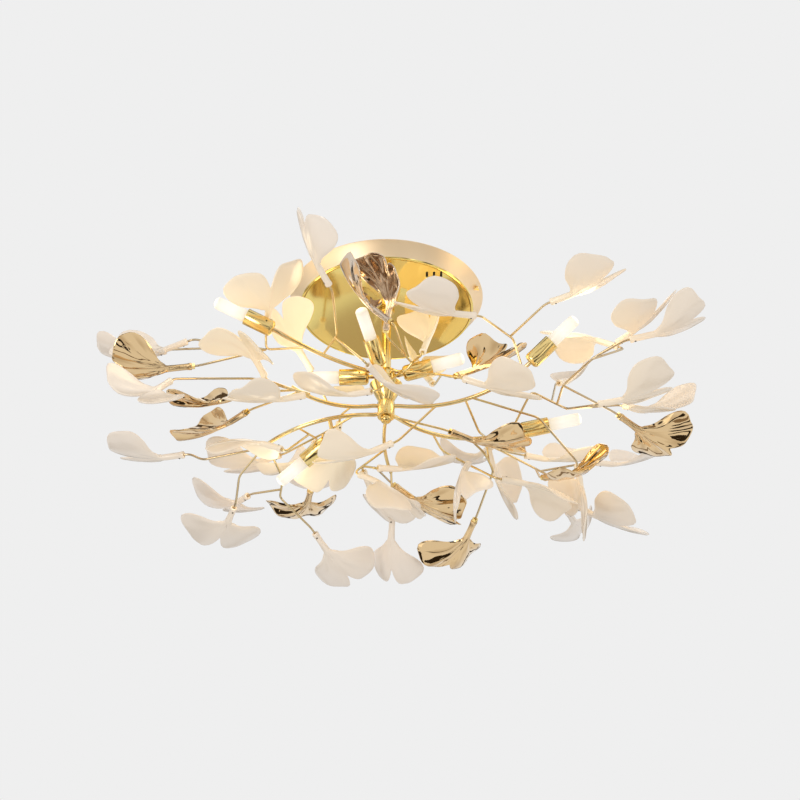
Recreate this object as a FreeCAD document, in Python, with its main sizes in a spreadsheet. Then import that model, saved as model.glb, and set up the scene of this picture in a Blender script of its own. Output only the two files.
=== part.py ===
import FreeCAD, Part
import math
import os
import types
from collections import namedtuple

import Sketcher
from FreeCAD import Placement, Rotation, Vector

# Ceiling light with ginkgo leaves on gilded branches, seven capsule lamps and a round canopy.
# Millimetres, +Z up. The origin is the centre of the canopy's ceiling face.
# Places in the tables are (reach share, bearing in degrees, drop share): the reach is a share
# of spread_radius, the bearing is counted from +X towards +Y, the drop is a share of hang_depth.

SIZES = {
    "spread_radius": 400.0,
    "hang_depth": 300.0,
    # canopy
    "canopy_rim_dia": 250.0,
    "canopy_face_dia": 225.0,
    "canopy_height": 20.0,
    "canopy_sheet": 1.2,
    "canopy_edge": 1.5,
    "vent_length": 13.0,
    "vent_width": 3.0,
    "vent_pitch": 9.0,
    # mounting bar and side screws
    "bar_width": 24.0,
    "bar_sheet": 2.0,
    "bar_ear": 14.0,
    "bar_hole_dia": 5.5,
    "bar_hole_pitch": 80.0,
    "bar_centre_dia": 13.0,
    "side_screw_dia": 4.0,
    "side_screw_length": 9.0,
    "side_screw_head_dia": 6.0,
    "side_screw_head": 2.4,
    # wiring block
    "block_length": 34.0,
    "block_width": 18.0,
    "block_height": 11.0,
    "block_wire_dia": 4.0,
    "block_wire_pitch": 10.0,
    "block_reach": 68.0,
    # stem and hub
    "stem_dia": 12.0,
    "stem_bore": 9.0,
    "stem_rise": 9.0,
    "stem_nut_flats": 18.0,
    "stem_nut_height": 4.0,
    "ring_dia": 25.0,
    "ring_height": 14.0,
    "cone_mouth_dia": 42.0,
    "cone_foot_dia": 18.0,
    "cone_height": 26.0,
    "cone_sheet": 1.0,
    "core_dia": 22.0,
    "core_height": 22.0,
    "nipple_dia": 8.0,
    "nipple_bend": 3.0,
    "nipple_length": 6.0,
    "finial_dia": 14.0,
    "finial_height": 8.0,
    # arms and twigs
    "arm_dia": 5.4,
    "slim_arm_dia": 4.4,
    "arm_socket_depth": 3.2,
    "arm_run_out": 5.0,
    "twig_dia": 3.0,
    "twig_bend": 8.0,
    "twig_grip": 9.0,
    # lamps
    "cup_dia": 21.0,
    "cup_length": 38.0,
    "cup_sheet": 1.2,
    "cup_shoulder": 5.0,
    "cup_floor": 3.0,
    "socket_length": 18.0,
    "socket_seat": 12.0,
    "bulb_dia": 16.0,
    "bulb_length": 50.0,
    "pin_length": 9.0,
    "pin_dia": 1.6,
    "pin_pitch": 8.0,
    "pin_hole_dia": 2.6,
    "bulb_travel": 14.0,
    # leaves
    "leaf_reach": 84.0,
    "leaf_half_width": 54.0,
    "leaf_sheet": 3.6,
    "leaf_edge_sheet": 2.6,
    "neck_dia": 8.8,
    "neck_length": 24.0,
    "leaf_nut_flats": 7.0,
    "leaf_nut_height": 3.4,
    # clearances
    "seat_gap": 0.3,
    "slide_gap": 0.3,
    "cut_over": 1.0,
}

PIN_SIDES = 4
ROD_SIDES = 6
ARM_SIDES = 6
LAMP_SIDES = 8
HOLE_SIDES = 12

doc = FreeCAD.newDocument("ceiling_light")
sheet = doc.addObject("Spreadsheet::Sheet", "Sizes")


class Length(float):
    """A number that keeps the sheet formula it was worked out from."""

    def __new__(cls, value, formula):
        number = super().__new__(cls, value)
        number.formula = formula
        return number

    def __add__(self, other):
        return Length(float(self) + float(other), f"({self.formula} + {formula_of(other)})")

    def __radd__(self, other):
        return Length(float(other) + float(self), f"({formula_of(other)} + {self.formula})")

    def __sub__(self, other):
        return Length(float(self) - float(other), f"({self.formula} - {formula_of(other)})")

    def __rsub__(self, other):
        return Length(float(other) - float(self), f"({formula_of(other)} - {self.formula})")

    def __mul__(self, other):
        return Length(float(self) * float(other), f"({self.formula} * {formula_of(other)})")

    __rmul__ = __mul__

    def __truediv__(self, other):
        return Length(float(self) / float(other), f"({self.formula} / {formula_of(other)})")

    def __neg__(self):
        return Length(-float(self), f"(0 - {self.formula})")


def formula_of(value):
    return getattr(value, "formula", repr(float(value)))


def fill_sheet():
    for row, (alias, value) in enumerate(SIZES.items(), start=1):
        sheet.set(f"A{row}", alias)
        sheet.set(f"B{row}", str(value))
        sheet.setAlias(f"B{row}", alias)
    doc.recompute()
    return types.SimpleNamespace(
        **{alias: Length(float(sheet.get(alias)), f"Sizes.{alias}") for alias in SIZES}
    )


mm = fill_sheet()


# Helpers for sketches and features

def bind(feature, values):
    for name, value in values.items():
        feature.setExpression(name, formula_of(value))


def origin_plane(body, role):
    return [item for item in body.Origin.OriginFeatures if item.Role == role][0]


def pin_coordinate(sketch, line, kind, axis, value):
    if float(value) == 0:
        sketch.addConstraint(Sketcher.Constraint("PointOnObject", line, 1, axis))
        return
    if value > 0:
        number = sketch.addConstraint(Sketcher.Constraint(kind, -1, 1, line, 1, float(value)))
    else:
        value = -value
        number = sketch.addConstraint(Sketcher.Constraint(kind, line, 1, -1, 1, float(value)))
    sketch.setExpression(f"Constraints[{number}]", formula_of(value))


def draw_outline(sketch, points):
    """Closed outline of straight lines whose corners follow the sheet."""
    spots = [Vector(x, y, 0) for x, y in points]
    for start, end in zip(spots, spots[1:] + spots[:1]):
        sketch.addGeometry(Part.LineSegment(start, end))
    count = len(spots)
    for line in range(count):
        following = (line + 1) % count
        sketch.addConstraint(Sketcher.Constraint("Coincident", line, 2, following, 1))
    for line, (x, y) in enumerate(points):
        pin_coordinate(sketch, line, "DistanceX", -2, x)
        pin_coordinate(sketch, line, "DistanceY", -1, y)


def outline_body(name, role, points):
    body = doc.addObject("PartDesign::Body", name)
    sketch = body.newObject("Sketcher::SketchObject", name + "_outline")
    sketch.AttachmentSupport = [(origin_plane(body, role), "")]
    sketch.MapMode = "FlatFace"
    draw_outline(sketch, points)
    return body, sketch


def turned_body(name, points):
    """Round piece turned about Z from an outline of (radius, height) points."""
    body, sketch = outline_body(name, "XZ_Plane", points)
    turn = body.newObject("PartDesign::Revolution", name + "_turn")
    turn.Profile = sketch
    turn.ReferenceAxis = (sketch, ["V_Axis"])
    turn.Angle = 360
    return body


def padded_body(name, role, points, length):
    """Flat piece padded both ways from one of the body's own planes."""
    body, sketch = outline_body(name, role, points)
    pad = body.newObject("PartDesign::Pad", name + "_pad")
    pad.Profile = sketch
    pad.Midplane = True
    bind(pad, {"Length": length})
    return body


def cylinder(name, dia, length, place):
    tool = doc.addObject("Part::Cylinder", name)
    bind(tool, {"Radius": dia / 2, "Height": length})
    tool.Placement = place
    return tool


def bar_stock(name, sides, dia, length, place):
    """Straight bar or cutter with flats, given by the circle through its corners."""
    bar = doc.addObject("Part::Prism", name)
    bar.Polygon = sides
    bind(bar, {"Circumradius": dia / 2, "Height": length})
    bar.Placement = place
    return bar


def clear_dia(dia, sides):
    """Circle round a hole whose flats clear a bar's corners by the slide gap."""
    return (dia + 2 * mm.slide_gap) / math.cos(math.pi / sides)


def cut(name, base, tools):
    """Base less all its tools, under the piece's own name."""
    bundle = doc.addObject("Part::Compound", name + "_cutters")
    bundle.Links = tools
    piece = doc.addObject("Part::Cut", name)
    piece.Base = base
    piece.Tool = bundle
    return piece


def faceted_turning(name, sides, sections):
    """Small turned piece with flats: a straight loft through regular polygons (dia, height)."""
    rings = []
    for number, (dia, height) in enumerate(sections):
        ring = doc.addObject("Part::RegularPolygon", f"{name}_ring_{number}")
        ring.Polygon = sides
        bind(ring, {"Circumradius": dia / 2, "Placement.Base.z": height + 0})
        rings.append(ring)
    loft = doc.addObject("Part::Loft", name)
    loft.Sections = rings
    loft.Solid = True
    loft.Ruled = True
    return loft


def hexagon(name, flats, height):
    """Six-sided block standing on the XY plane, sized across its flats."""
    block = doc.addObject("Part::Prism", name)
    block.Polygon = 6
    bind(block, {"Circumradius": flats / math.sqrt(3), "Height": height})
    return block


def copies(name, masters):
    """Group of separate solids: one placed copy of a master for each (master, placement)."""
    links = []
    for number, (master, place) in enumerate(masters, start=1):
        link = doc.addObject("App::Link", f"{name}_copy_{number}")
        link.LinkedObject = master
        link.Placement = place
        links.append(link)
    group = doc.addObject("Part::Compound", name)
    group.Links = links
    return group


def copy_of(name, master, place):
    link = doc.addObject("App::Link", name)
    link.LinkedObject = master
    link.Placement = place
    link.Label = name
    return link


# Helpers for places and directions

def spot(place):
    """Point of a (reach share, bearing, drop share) place."""
    reach, bearing, drop = place
    angle = math.radians(bearing)
    radius = mm.spread_radius * reach
    return Vector(radius * math.cos(angle), radius * math.sin(angle), -mm.hang_depth * drop)


def direction(heading, tilt):
    level = math.cos(math.radians(tilt))
    return Vector(
        level * math.cos(math.radians(heading)),
        level * math.sin(math.radians(heading)),
        math.sin(math.radians(tilt)),
    )


def leaf_placement(neck, heading, tilt, roll):
    """Leaf frame: X along the neck, Z on the domed side, which faces down at no roll."""
    along = direction(heading, tilt)
    down = Vector(0, 0, -1)
    domed = (down - along * down.dot(along)).normalize()
    across = domed.cross(along)
    upright = Placement(neck, Rotation(along, across, domed, "XYZ"))
    return upright * Placement(Vector(), Rotation(Vector(1, 0, 0), roll))


def aim(point, heading, tilt):
    """Placement that puts local Z along a direction."""
    return Placement(point, Rotation(Vector(0, 0, 1), direction(heading, tilt)))


# Canopy, mounting bar and wiring block

def wall_radius(drop):
    """Outer radius of the canopy's sloping wall at a drop below the ceiling."""
    slope = (mm.canopy_rim_dia - mm.canopy_face_dia) / 2 / (mm.canopy_height - mm.canopy_edge)
    return mm.canopy_rim_dia / 2 - slope * drop


BAR_BEARING = -16.0
SCREW_DROP_SHARE = 0.45
SLOPED_SHEET = 1.2
VENT_X_SHARE = 0.54
VENT_Y_SHARE = 0.613


def make_canopy_pan():
    face = mm.canopy_face_dia / 2
    rim = mm.canopy_rim_dia / 2
    low = -mm.canopy_height
    hole = mm.stem_dia / 2 + mm.slide_gap
    body = turned_body("canopy_shell", [
        (hole, low),
        (face - mm.canopy_edge, low),
        (face, low + mm.canopy_edge),
        (rim, 0),
        (rim - mm.canopy_sheet, 0),
        (face - mm.canopy_sheet, low + mm.canopy_edge),
        (face - mm.canopy_edge - mm.canopy_sheet, low + mm.canopy_sheet),
        (hole, low + mm.canopy_sheet),
    ])
    tools = []
    for number in (-1, 0, 1):
        slot = doc.addObject("Part::Box", f"vent_cutter_{number + 2}")
        bind(slot, {
            "Length": mm.vent_width,
            "Width": mm.vent_length,
            "Height": mm.canopy_sheet + 2 * mm.cut_over,
            "Placement.Base.x": face * VENT_X_SHARE + number * mm.vent_pitch,
            "Placement.Base.y": -face * VENT_Y_SHARE - mm.vent_length / 2,
            "Placement.Base.z": low - mm.cut_over,
        })
        tools.append(slot)
    for number, bearing in enumerate((BAR_BEARING, BAR_BEARING + 180)):
        drop = mm.canopy_height * SCREW_DROP_SHARE
        start = direction(bearing, 0) * (wall_radius(drop) - mm.side_screw_length)
        start.z = -drop
        tools.append(bar_stock(
            f"side_hole_cutter_{number + 1}",
            LAMP_SIDES,
            clear_dia(mm.side_screw_dia, LAMP_SIDES),
            2 * mm.side_screw_length,
            aim(start, bearing, 0),
        ))
    return cut("canopy_pan", body, tools)


def bar_reach():
    """Outer face of the bar's ears, clear of the canopy wall inside."""
    wall = min(wall_radius(0), wall_radius(mm.bar_ear))
    return wall - mm.canopy_sheet * SLOPED_SHEET - mm.seat_gap


def make_mounting_bar():
    reach = bar_reach()
    sheet_metal = mm.bar_sheet
    bar = padded_body("bar_strip", "XZ_Plane", [
        (-reach, 0),
        (reach, 0),
        (reach, -mm.bar_ear),
        (reach - sheet_metal, -mm.bar_ear),
        (reach - sheet_metal, -sheet_metal),
        (-reach + sheet_metal, -sheet_metal),
        (-reach + sheet_metal, -mm.bar_ear),
        (-reach, -mm.bar_ear),
    ], mm.bar_width)
    through = mm.bar_sheet + 2 * mm.cut_over
    low = -mm.bar_sheet - mm.cut_over
    tools = []
    for number, side in enumerate((-1, 1)):
        at = Placement(Vector(side * mm.bar_hole_pitch / 2, 0, low), Rotation())
        tools.append(cylinder(f"bar_hole_cutter_{number + 1}", mm.bar_hole_dia, through, at))
    centre = Placement(Vector(0, 0, low), Rotation())
    tools.append(bar_stock("bar_centre_cutter", HOLE_SIDES, mm.bar_centre_dia, through, centre))
    drop = mm.canopy_height * SCREW_DROP_SHARE
    for number, bearing in enumerate((0, 180)):
        start = direction(bearing, 0) * (reach - mm.bar_sheet - mm.cut_over)
        start.z = -drop
        tools.append(bar_stock(
            f"bar_tap_cutter_{number + 1}",
            LAMP_SIDES,
            clear_dia(mm.side_screw_dia, LAMP_SIDES),
            through,
            aim(start, bearing, 0),
        ))
    piece = cut("mounting_bar", bar, tools)
    piece.Placement = Placement(Vector(), Rotation(Vector(0, 0, 1), BAR_BEARING))
    return piece


def make_canopy_screws():
    """Side screws that hold the canopy to the bar's ears."""
    shank = bar_stock(
        "side_screw_shank",
        LAMP_SIDES,
        mm.side_screw_dia,
        mm.side_screw_length,
        Placement(),
    )
    head = bar_stock(
        "side_screw_cap",
        LAMP_SIDES,
        mm.side_screw_head_dia,
        mm.side_screw_head,
        Placement(Vector(0, 0, mm.side_screw_length), Rotation()),
    )
    screw = doc.addObject("Part::Fuse", "side_screw_master")
    screw.Base = shank
    screw.Tool = head
    drop = mm.canopy_height * SCREW_DROP_SHARE
    head_edge = mm.side_screw_head_dia / 2
    seat = max(wall_radius(drop - head_edge), wall_radius(drop + head_edge)) + mm.seat_gap
    places = []
    for bearing in (BAR_BEARING, BAR_BEARING + 180):
        start = direction(bearing, 0) * (seat - mm.side_screw_length)
        start.z = -drop
        places.append((screw, aim(start, bearing, 0)))
    return copies("canopy_screws", places)


def make_terminal_block():
    block = doc.addObject("Part::Box", "block_body")
    bind(block, {"Length": mm.block_length, "Width": mm.block_width, "Height": mm.block_height})
    tools = []
    for number in (-1, 0, 1):
        start = Vector(mm.block_length / 2 + number * mm.block_wire_pitch, -mm.cut_over,
                       mm.block_height / 2)
        tools.append(bar_stock(
            f"block_wire_cutter_{number + 2}",
            ROD_SIDES,
            mm.block_wire_dia,
            mm.block_width + 2 * mm.cut_over,
            Placement(start, Rotation(Vector(1, 0, 0), -90)),
        ))
    piece = cut("terminal_block", block, tools)
    turn = Rotation(Vector(0, 0, 1), BAR_BEARING)
    corner = Vector(
        mm.block_reach - mm.block_length / 2,
        -mm.block_width / 2,
        -mm.bar_sheet - mm.seat_gap - mm.block_height,
    )
    piece.Placement = Placement(turn.multVec(corner), turn)
    return piece


# Stem, nuts, hub pieces

STEM_END_SHARE = 0.5467
RING_SHARE = 0.39
ROW_SHARES = {"core_high": 0.25, "core_low": 0.72}
FINIAL_FOOT_SHARE = 0.55
FINIAL_TAPER_SHARE = 0.4


def stem_end():
    """Drop of the stem's foot."""
    return mm.hang_depth * STEM_END_SHARE


def ring_top():
    """Drop of the lamp ring's top."""
    return mm.hang_depth * RING_SHARE


def ring_foot():
    return ring_top() + mm.ring_height


def core_top():
    return stem_end() + mm.seat_gap


def make_stem_tube():
    outer = mm.stem_dia / 2
    inner = mm.stem_bore / 2
    top = -(mm.canopy_height - mm.stem_rise)
    foot = -stem_end()
    return turned_body("stem_tube", [
        (inner, foot),
        (outer, foot),
        (outer, top),
        (inner, top),
    ])


def make_stem_nuts():
    """Lock nuts on the stem, one above and one below the canopy's face."""
    block = hexagon("stem_nut_block", mm.stem_nut_flats, mm.stem_nut_height)
    nut = cut("stem_nut_master", block, [
        bar_stock(
            "stem_nut_bore",
            HOLE_SIDES,
            clear_dia(mm.stem_dia, HOLE_SIDES),
            mm.stem_nut_height + 2 * mm.cut_over,
            Placement(Vector(0, 0, -mm.cut_over), Rotation()),
        ),
    ])
    above = -mm.canopy_height + mm.canopy_sheet + mm.seat_gap
    below = -mm.canopy_height - mm.seat_gap - mm.stem_nut_height
    return copies("stem_nuts", [
        (nut, Placement(Vector(0, 0, above), Rotation())),
        (nut, Placement(Vector(0, 0, below), Rotation())),
    ])


def radial_cutters(name, roots, body_dia):
    """Blind sockets for arm roots, cut into the side of a hub piece."""
    tools = []
    for number, root in enumerate(roots, start=1):
        floor = body_dia / 2 - mm.arm_socket_depth
        start = direction(root.bearing, 0) * floor
        start.z = -root.drop
        tools.append(bar_stock(
            f"{name}_socket_{number}",
            ARM_SIDES,
            clear_dia(root.dia, ARM_SIDES),
            mm.arm_socket_depth + mm.cut_over,
            aim(start, root.bearing, 0),
        ))
    return tools


def make_lamp_ring(roots):
    """Collar on the stem that carries the centre lamps and the upper branches."""
    hole = mm.stem_dia / 2 + mm.slide_gap
    outer = mm.ring_dia / 2
    body = turned_body("lamp_ring_body", [
        (hole, -ring_foot()),
        (outer, -ring_foot()),
        (outer, -ring_top()),
        (hole, -ring_top()),
    ])
    return cut("lamp_ring", body, radial_cutters("ring", roots, mm.ring_dia))


def make_hub_cone():
    """Spun funnel that stands on the hub core and closes round the stem."""
    foot = -core_top() + mm.seat_gap
    mouth = foot + mm.cone_height
    hole = mm.stem_dia / 2 + mm.slide_gap
    low = mm.cone_foot_dia / 2
    high = mm.cone_mouth_dia / 2
    wall = mm.cone_sheet
    return turned_body("hub_cone", [
        (hole, foot),
        (low, foot),
        (high, mouth),
        (high - wall, mouth),
        (low - wall, foot + wall),
        (hole, foot + wall),
    ])


def make_hub_core(roots):
    hole = mm.nipple_dia / 2 + mm.slide_gap
    outer = mm.core_dia / 2
    top = -core_top()
    foot = top - mm.core_height
    body = turned_body("hub_core_body", [
        (hole, foot),
        (outer, foot),
        (outer, top),
        (hole, top),
    ])
    return cut("hub_core", body, radial_cutters("core", roots, mm.core_dia))


def make_hub_nipple():
    """Hollow threaded pipe that draws stem, core and finial together."""
    outer = mm.nipple_dia / 2
    inner = outer - mm.canopy_sheet
    top = -stem_end() + mm.ring_height
    foot = -core_top() - mm.core_height - mm.finial_height / 2
    return turned_body("hub_nipple", [
        (inner, foot),
        (outer, foot),
        (outer, top),
        (inner, top),
    ])


def make_hub_finial():
    top = -core_top() - mm.core_height - mm.seat_gap
    foot = top - mm.finial_height
    hole = mm.nipple_dia / 2 + mm.slide_gap
    outer = mm.finial_dia / 2
    floor = top - mm.finial_height / 2 - mm.seat_gap * 2
    return turned_body("hub_finial", [
        (0, foot),
        (outer * FINIAL_FOOT_SHARE, foot),
        (outer, foot + mm.finial_height * FINIAL_TAPER_SHARE),
        (outer, top),
        (hole, top),
        (hole, floor),
        (0, floor),
    ])


# Branches. An arm springs from a hub piece, bends through a mid place and may carry a lamp.
# Each leaf's twig starts where its route comes nearest to what the branch already holds.

Root = namedtuple("Root", "bearing drop dia")
Arm = namedtuple("Arm", "bearing level stock mid end lamp")
Lamp = namedtuple("Lamp", "base heading tilt")
Leaf = namedtuple("Leaf", "branch form route neck heading tilt roll")

LAMPS = {
    "1": Lamp(None, 178, 0),
    "2": Lamp(None, -9, 12),
    "3": Lamp(None, -112, 35),
    "4": Lamp((0.43, -144, 0.41), -165, 21),
    "5": Lamp((0.47, -17, 0.47), -28, 35),
    "6": Lamp((0.44, 15, 0.59), -6, 10),
    "7": Lamp((0.20, 158, 0.68), 155, -32),
}

ARMS = {
    "west_upper": Arm(-147, "ring", "arm", (0.25, -142, 0.445), None, "4"),
    "west": Arm(-174, "core_high", "arm", (0.14, -174, 0.575), (0.30, -173, 0.50), None),
    "south_west": Arm(168, "core_low", "arm", (0.22, 179, 0.64), (0.41, 163, 0.67), None),
    "south": Arm(92, "core_low", "slim", (0.12, 93, 0.65), (0.22, 86, 0.71), None),
    "south_east": Arm(36, "core_low", "arm", (0.21, 28, 0.63), None, "6"),
    "east": Arm(-4, "core_high", "arm", (0.24, -4, 0.55), None, "5"),
    "north": Arm(-60, "ring", "slim", (0.08, -42, 0.43), (0.11, -42, 0.41), None),
}

LEAVES = {
    "white_leaves_near_left": [
        Leaf("west_upper", "cupped", [(0.25, -142, 0.45), (0.27, -124, 0.41)],
             (0.52, -109, 0.42), -117, 20, -46),
        Leaf("west_upper", "open", [(0.31, -142, 0.43), (0.41, -156, 0.43)],
             (0.43, -150, 0.34), -82, -1, 24),
    ],
    "white_leaves_far_left": [
        Leaf("west_upper", "open", [(0.42, -157, 0.44)], (0.64, 179, 0.22), 174, -21, -54),
        Leaf("west_upper", "cupped", [(0.52, -163, 0.45)], (0.72, 174, 0.21), 147, 6, -7),
    ],
    "gold_leaf_far_left": [
        Leaf("west_upper", "rippled", [(0.41, -156, 0.43)], (0.62, -168, 0.48), -180, -7, -72),
    ],
    "white_leaves_stem": [
        Leaf("west_upper", "open", [(0.28, -128, 0.40)], (0.43, -97, 0.75), 59, -5, 39),
        Leaf("north", "open", [(0.07, -40, 0.41)], (0.27, -99, 0.73), 146, 13, -19),
    ],
    "white_leaves_left": [
        Leaf("west", "open", [(0.27, -173, 0.51)], (0.40, -161, 0.53), -110, 11, 154),
        Leaf("west", "folded", [(0.18, -174, 0.53)], (0.25, 164, 0.32), -127, 33, -120),
    ],
    "gold_leaf_left_low": [
        Leaf("west", "rippled", [(0.27, -173, 0.51)], (0.45, 172, 0.54), 139, -6, -46),
    ],
    "white_leaves_left_tip": [
        Leaf("west", "open", [(0.27, -173, 0.51), (0.42, -170, 0.49), (0.60, -172, 0.50)],
             (0.69, -164, 0.61), -132, -48, -46),
        Leaf("west", "open", [(0.35, -171, 0.50)], (0.30, -146, 0.66), -171, -18, -27),
    ],
    "gold_leaf_left": [
        Leaf("west", "rippled", [(0.29, -171, 0.51)], (0.46, -171, 0.57), 140, 6, -28),
    ],
    "white_leaves_hanging": [
        Leaf("west", "cupped", [(0.11, -176, 0.58)], (0.16, 158, 0.59), 100, -41, -17),
        Leaf("south_west", "folded", [(0.28, 176, 0.65)], (0.27, 147, 0.62), 115, -3, -37),
        Leaf("south_west", "cupped", [(0.18, 167, 0.65)], (0.47, 118, 0.42), 95, -10, -6),
    ],
    "white_leaves_low_left": [
        Leaf("south_west", "open", [(0.10, -166, 0.62), (0.19, 166, 0.65)],
             (0.45, 140, 0.56), 151, -2, -4),
        Leaf("south_west", "open", [(0.27, 160, 0.65)], (0.33, -166, 0.85), 150, 33, 155),
    ],
    "white_leaves_far_low": [
        Leaf("south_west", "cupped", [(0.36, 156, 0.65), (0.41, 144, 0.72), (0.48, 136, 0.74)],
             (0.56, 115, 0.78), 55, -26, -13),
        Leaf("south_west", "open", [(0.45, 139, 0.73)], (0.61, 138, 0.67), 122, 10, 5),
    ],
    "gold_leaf_low_left": [
        Leaf("south_west", "rippled", [(0.22, 163, 0.65), (0.34, 135, 0.71)],
             (0.38, 130, 0.74), 99, 1, -8),
    ],
    "white_leaves_low_tip": [
        Leaf("south_west", "open", [(0.41, 163, 0.67), (0.53, 153, 0.71)],
             (0.61, 144, 0.77), 109, -10, 2),
        Leaf("south_west", "open", [(0.41, 163, 0.67), (0.61, 164, 0.69)],
             (0.66, 167, 0.68), 162, 3, -13),
    ],
    "white_leaves_far_middle": [
        Leaf("south", "folded", [(0.22, 86, 0.71)], (0.54, 88, 0.67), 94, -39, 24),
        Leaf("south", "cupped", [(0.21, 86, 0.70)], (0.29, 105, 0.65), 69, -23, 25),
    ],
    "white_leaves_middle_low": [
        Leaf("south", "open", [(0.21, 86, 0.70)], (0.09, 107, 0.80), 22, 11, 36),
        Leaf("south", "open", [(0.14, 91, 0.66)], (0.16, 122, 0.79), -18, -33, -156),
    ],
    "gold_leaf_middle_low": [
        Leaf("south", "rippled", [(0.21, 105, 0.68)], (0.54, 87, 0.51), 10, -36, 5),
    ],
    "gold_leaf_middle": [
        Leaf("south_east", "rippled", [(0.05, 3, 0.61)], (0.21, 11, 0.66), 12, -17, 23),
    ],
    "white_leaves_right_low": [
        Leaf("south_east", "cupped", [(0.17, 30, 0.63), (0.24, 42, 0.65), (0.32, 38, 0.68)],
             (0.39, 21, 0.81), 17, -1, -165),
        Leaf("south_east", "folded", [(0.32, 38, 0.68)], (0.28, 22, 0.76), -113, -53, -147),
        Leaf("east", "open", [(0.27, -5, 0.55), (0.48, -1, 0.63)], (0.61, 9, 0.78), 80, -13, -115),
    ],
    "gold_leaf_far_right_low": [
        Leaf("south_east", "rippled", [(0.29, 24, 0.62), (0.35, 26, 0.67), (0.40, 31, 0.71)],
             (0.56, 59, 0.74), 111, -21, -15),
    ],
    "white_leaves_right_inner": [
        Leaf("south_east", "open", [(0.37, 29, 0.69)], (0.38, 31, 0.60), 74, -27, 89),
        Leaf("south_east", "open", [(0.31, 22, 0.61), (0.40, 25, 0.64)],
             (0.53, 32, 0.57), 23, 3, 33),
    ],
    "white_leaves_right_far": [
        Leaf("south_east", "open", [(0.41, 25, 0.64), (0.61, 28, 0.68)],
             (0.73, 32, 0.74), -22, -40, 2),
        Leaf("south_east", "folded", [(0.61, 28, 0.68)], (0.84, 44, 0.61), 70, 4, -33),
    ],
    "gold_leaf_right_low": [
        Leaf("south_east", "rippled", [(0.54, 27, 0.67)], (0.50, 8, 0.86), -47, -25, 43),
    ],
    "white_leaves_right": [
        Leaf("south_east", "open", [(0.40, 15, 0.57), (0.46, 0, 0.49), (0.57, 2, 0.56)],
             (0.67, -12, 0.68), -5, 9, 6),
        Leaf("south_east", "open", [(0.57, 2, 0.56)], (0.78, 11, 0.43), -34, -29, 44),
        Leaf("south_east", "cupped", [(0.56, 27, 0.67)], (0.79, 29, 0.52), 35, 15, 20),
    ],
    "white_leaves_right_upper": [
        Leaf("south_east", "cupped", [(0.53, 5, 0.56), (0.56, -8, 0.53), (0.67, -16, 0.49)],
             (0.79, -17, 0.44), -9, 9, 2),
        Leaf("south_east", "open", [(0.67, -16, 0.49)], (0.74, -11, 0.37), -55, -2, 31),
        Leaf("south_east", "open", [(0.65, -18, 0.50)], (0.74, -5, 0.32), 171, 26, 163),
    ],
    "gold_leaf_right": [
        Leaf("south_east", "rippled", [(0.56, -8, 0.53)], (0.74, 3, 0.58), 36, -16, -8),
    ],
    "white_leaves_east": [
        Leaf("east", "folded", [(0.16, -1, 0.57)], (0.02, 2, 0.75), -170, -30, -5),
        Leaf("east", "folded", [(0.25, -5, 0.55), (0.31, 18, 0.61)], (0.47, 43, 0.49), 118, 7, 4),
        Leaf("south_east", "folded", [(0.53, 0, 0.52)], (0.59, 18, 0.28), 54, 34, -15),
    ],
    "white_leaves_near_right": [
        Leaf("east", "open", [(0.45, -15, 0.50), (0.43, -22, 0.37)],
             (0.50, -57, 0.50), -157, -10, -15),
        Leaf("east", "open", [(0.46, -26, 0.37)], (0.59, -30, 0.31), -31, 1, 18),
    ],
    "gold_leaves_near": [
        Leaf("north", "rippled", [(0.13, -38, 0.41)], (0.17, -90, 0.33), -81, 30, 121),
        Leaf("north", "rippled", [(0.14, -56, 0.40)], (0.35, -88, 0.46), 168, 46, -7),
    ],
    "white_leaves_north": [
        Leaf("north", "folded", [(0.11, -42, 0.41)], (0.19, -53, 0.43), 66, 61, -17),
        Leaf("north", "open", [(0.07, -36, 0.41), (0.19, -30, 0.49)],
             (0.30, -37, 0.59), -11, -27, 8),
        Leaf("north", "folded", [(0.21, -32, 0.49)], (0.15, 8, 0.43), 110, 47, 12),
    ],
    "gold_leaf_north": [
        Leaf("north", "rippled", [(0.24, -24, 0.50)], (0.23, -14, 0.46), 25, 33, 39),
    ],
}


def lamp_base(number):
    """Middle of a lamp cup's floor; a lamp without a place stands out from the ring."""
    lamp = LAMPS[number]
    if lamp.base is not None:
        return spot(lamp.base)
    return nipple_knee(lamp) + direction(lamp.heading, lamp.tilt) * mm.nipple_length


def nipple_knee(lamp):
    out = direction(lamp.heading, 0) * (mm.ring_dia / 2 + mm.seat_gap + mm.nipple_bend)
    return out - Vector(0, 0, hub_level("ring"))


def stock_dia(arm):
    return mm.slim_arm_dia if arm.stock == "slim" else mm.arm_dia


def hub_radius(level):
    return (mm.ring_dia if level == "ring" else mm.core_dia) / 2


def hub_level(level):
    """Drop of a row of arm sockets."""
    if level == "ring":
        return ring_top() + mm.ring_height / 2
    return core_top() + mm.core_height * ROW_SHARES[level]


def arm_roots(*levels):
    return [
        Root(arm.bearing, hub_level(arm.level), stock_dia(arm))
        for arm in ARMS.values() if arm.level in levels
    ]


def regular_section(point, along, dia, sides):
    """Closed polygon of a rod's section, square to its direction."""
    turn = Rotation(Vector(0, 0, 1), along)
    corners = []
    for number in range(sides + 1):
        angle = math.radians(360 * (number % sides) / sides)
        corners.append(point + turn.multVec(Vector(math.cos(angle), math.sin(angle), 0)) * (dia / 2))
    return Part.makePolygon(corners)


def rod_along(points, dia, sides):
    """Rod with mitred corners along a run of points."""
    spine = Part.makePolygon(points)
    section = regular_section(points[0], points[1] - points[0], dia, sides)
    return spine.makePipeShell([section], True, False, 1)


def bent_run(start, middle, end, steps=4):
    """Points of the shallow bow that passes from start through middle to end."""
    bow = Part.Arc(start, middle, end).toShape()
    return bow.discretize(steps + 1)


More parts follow.
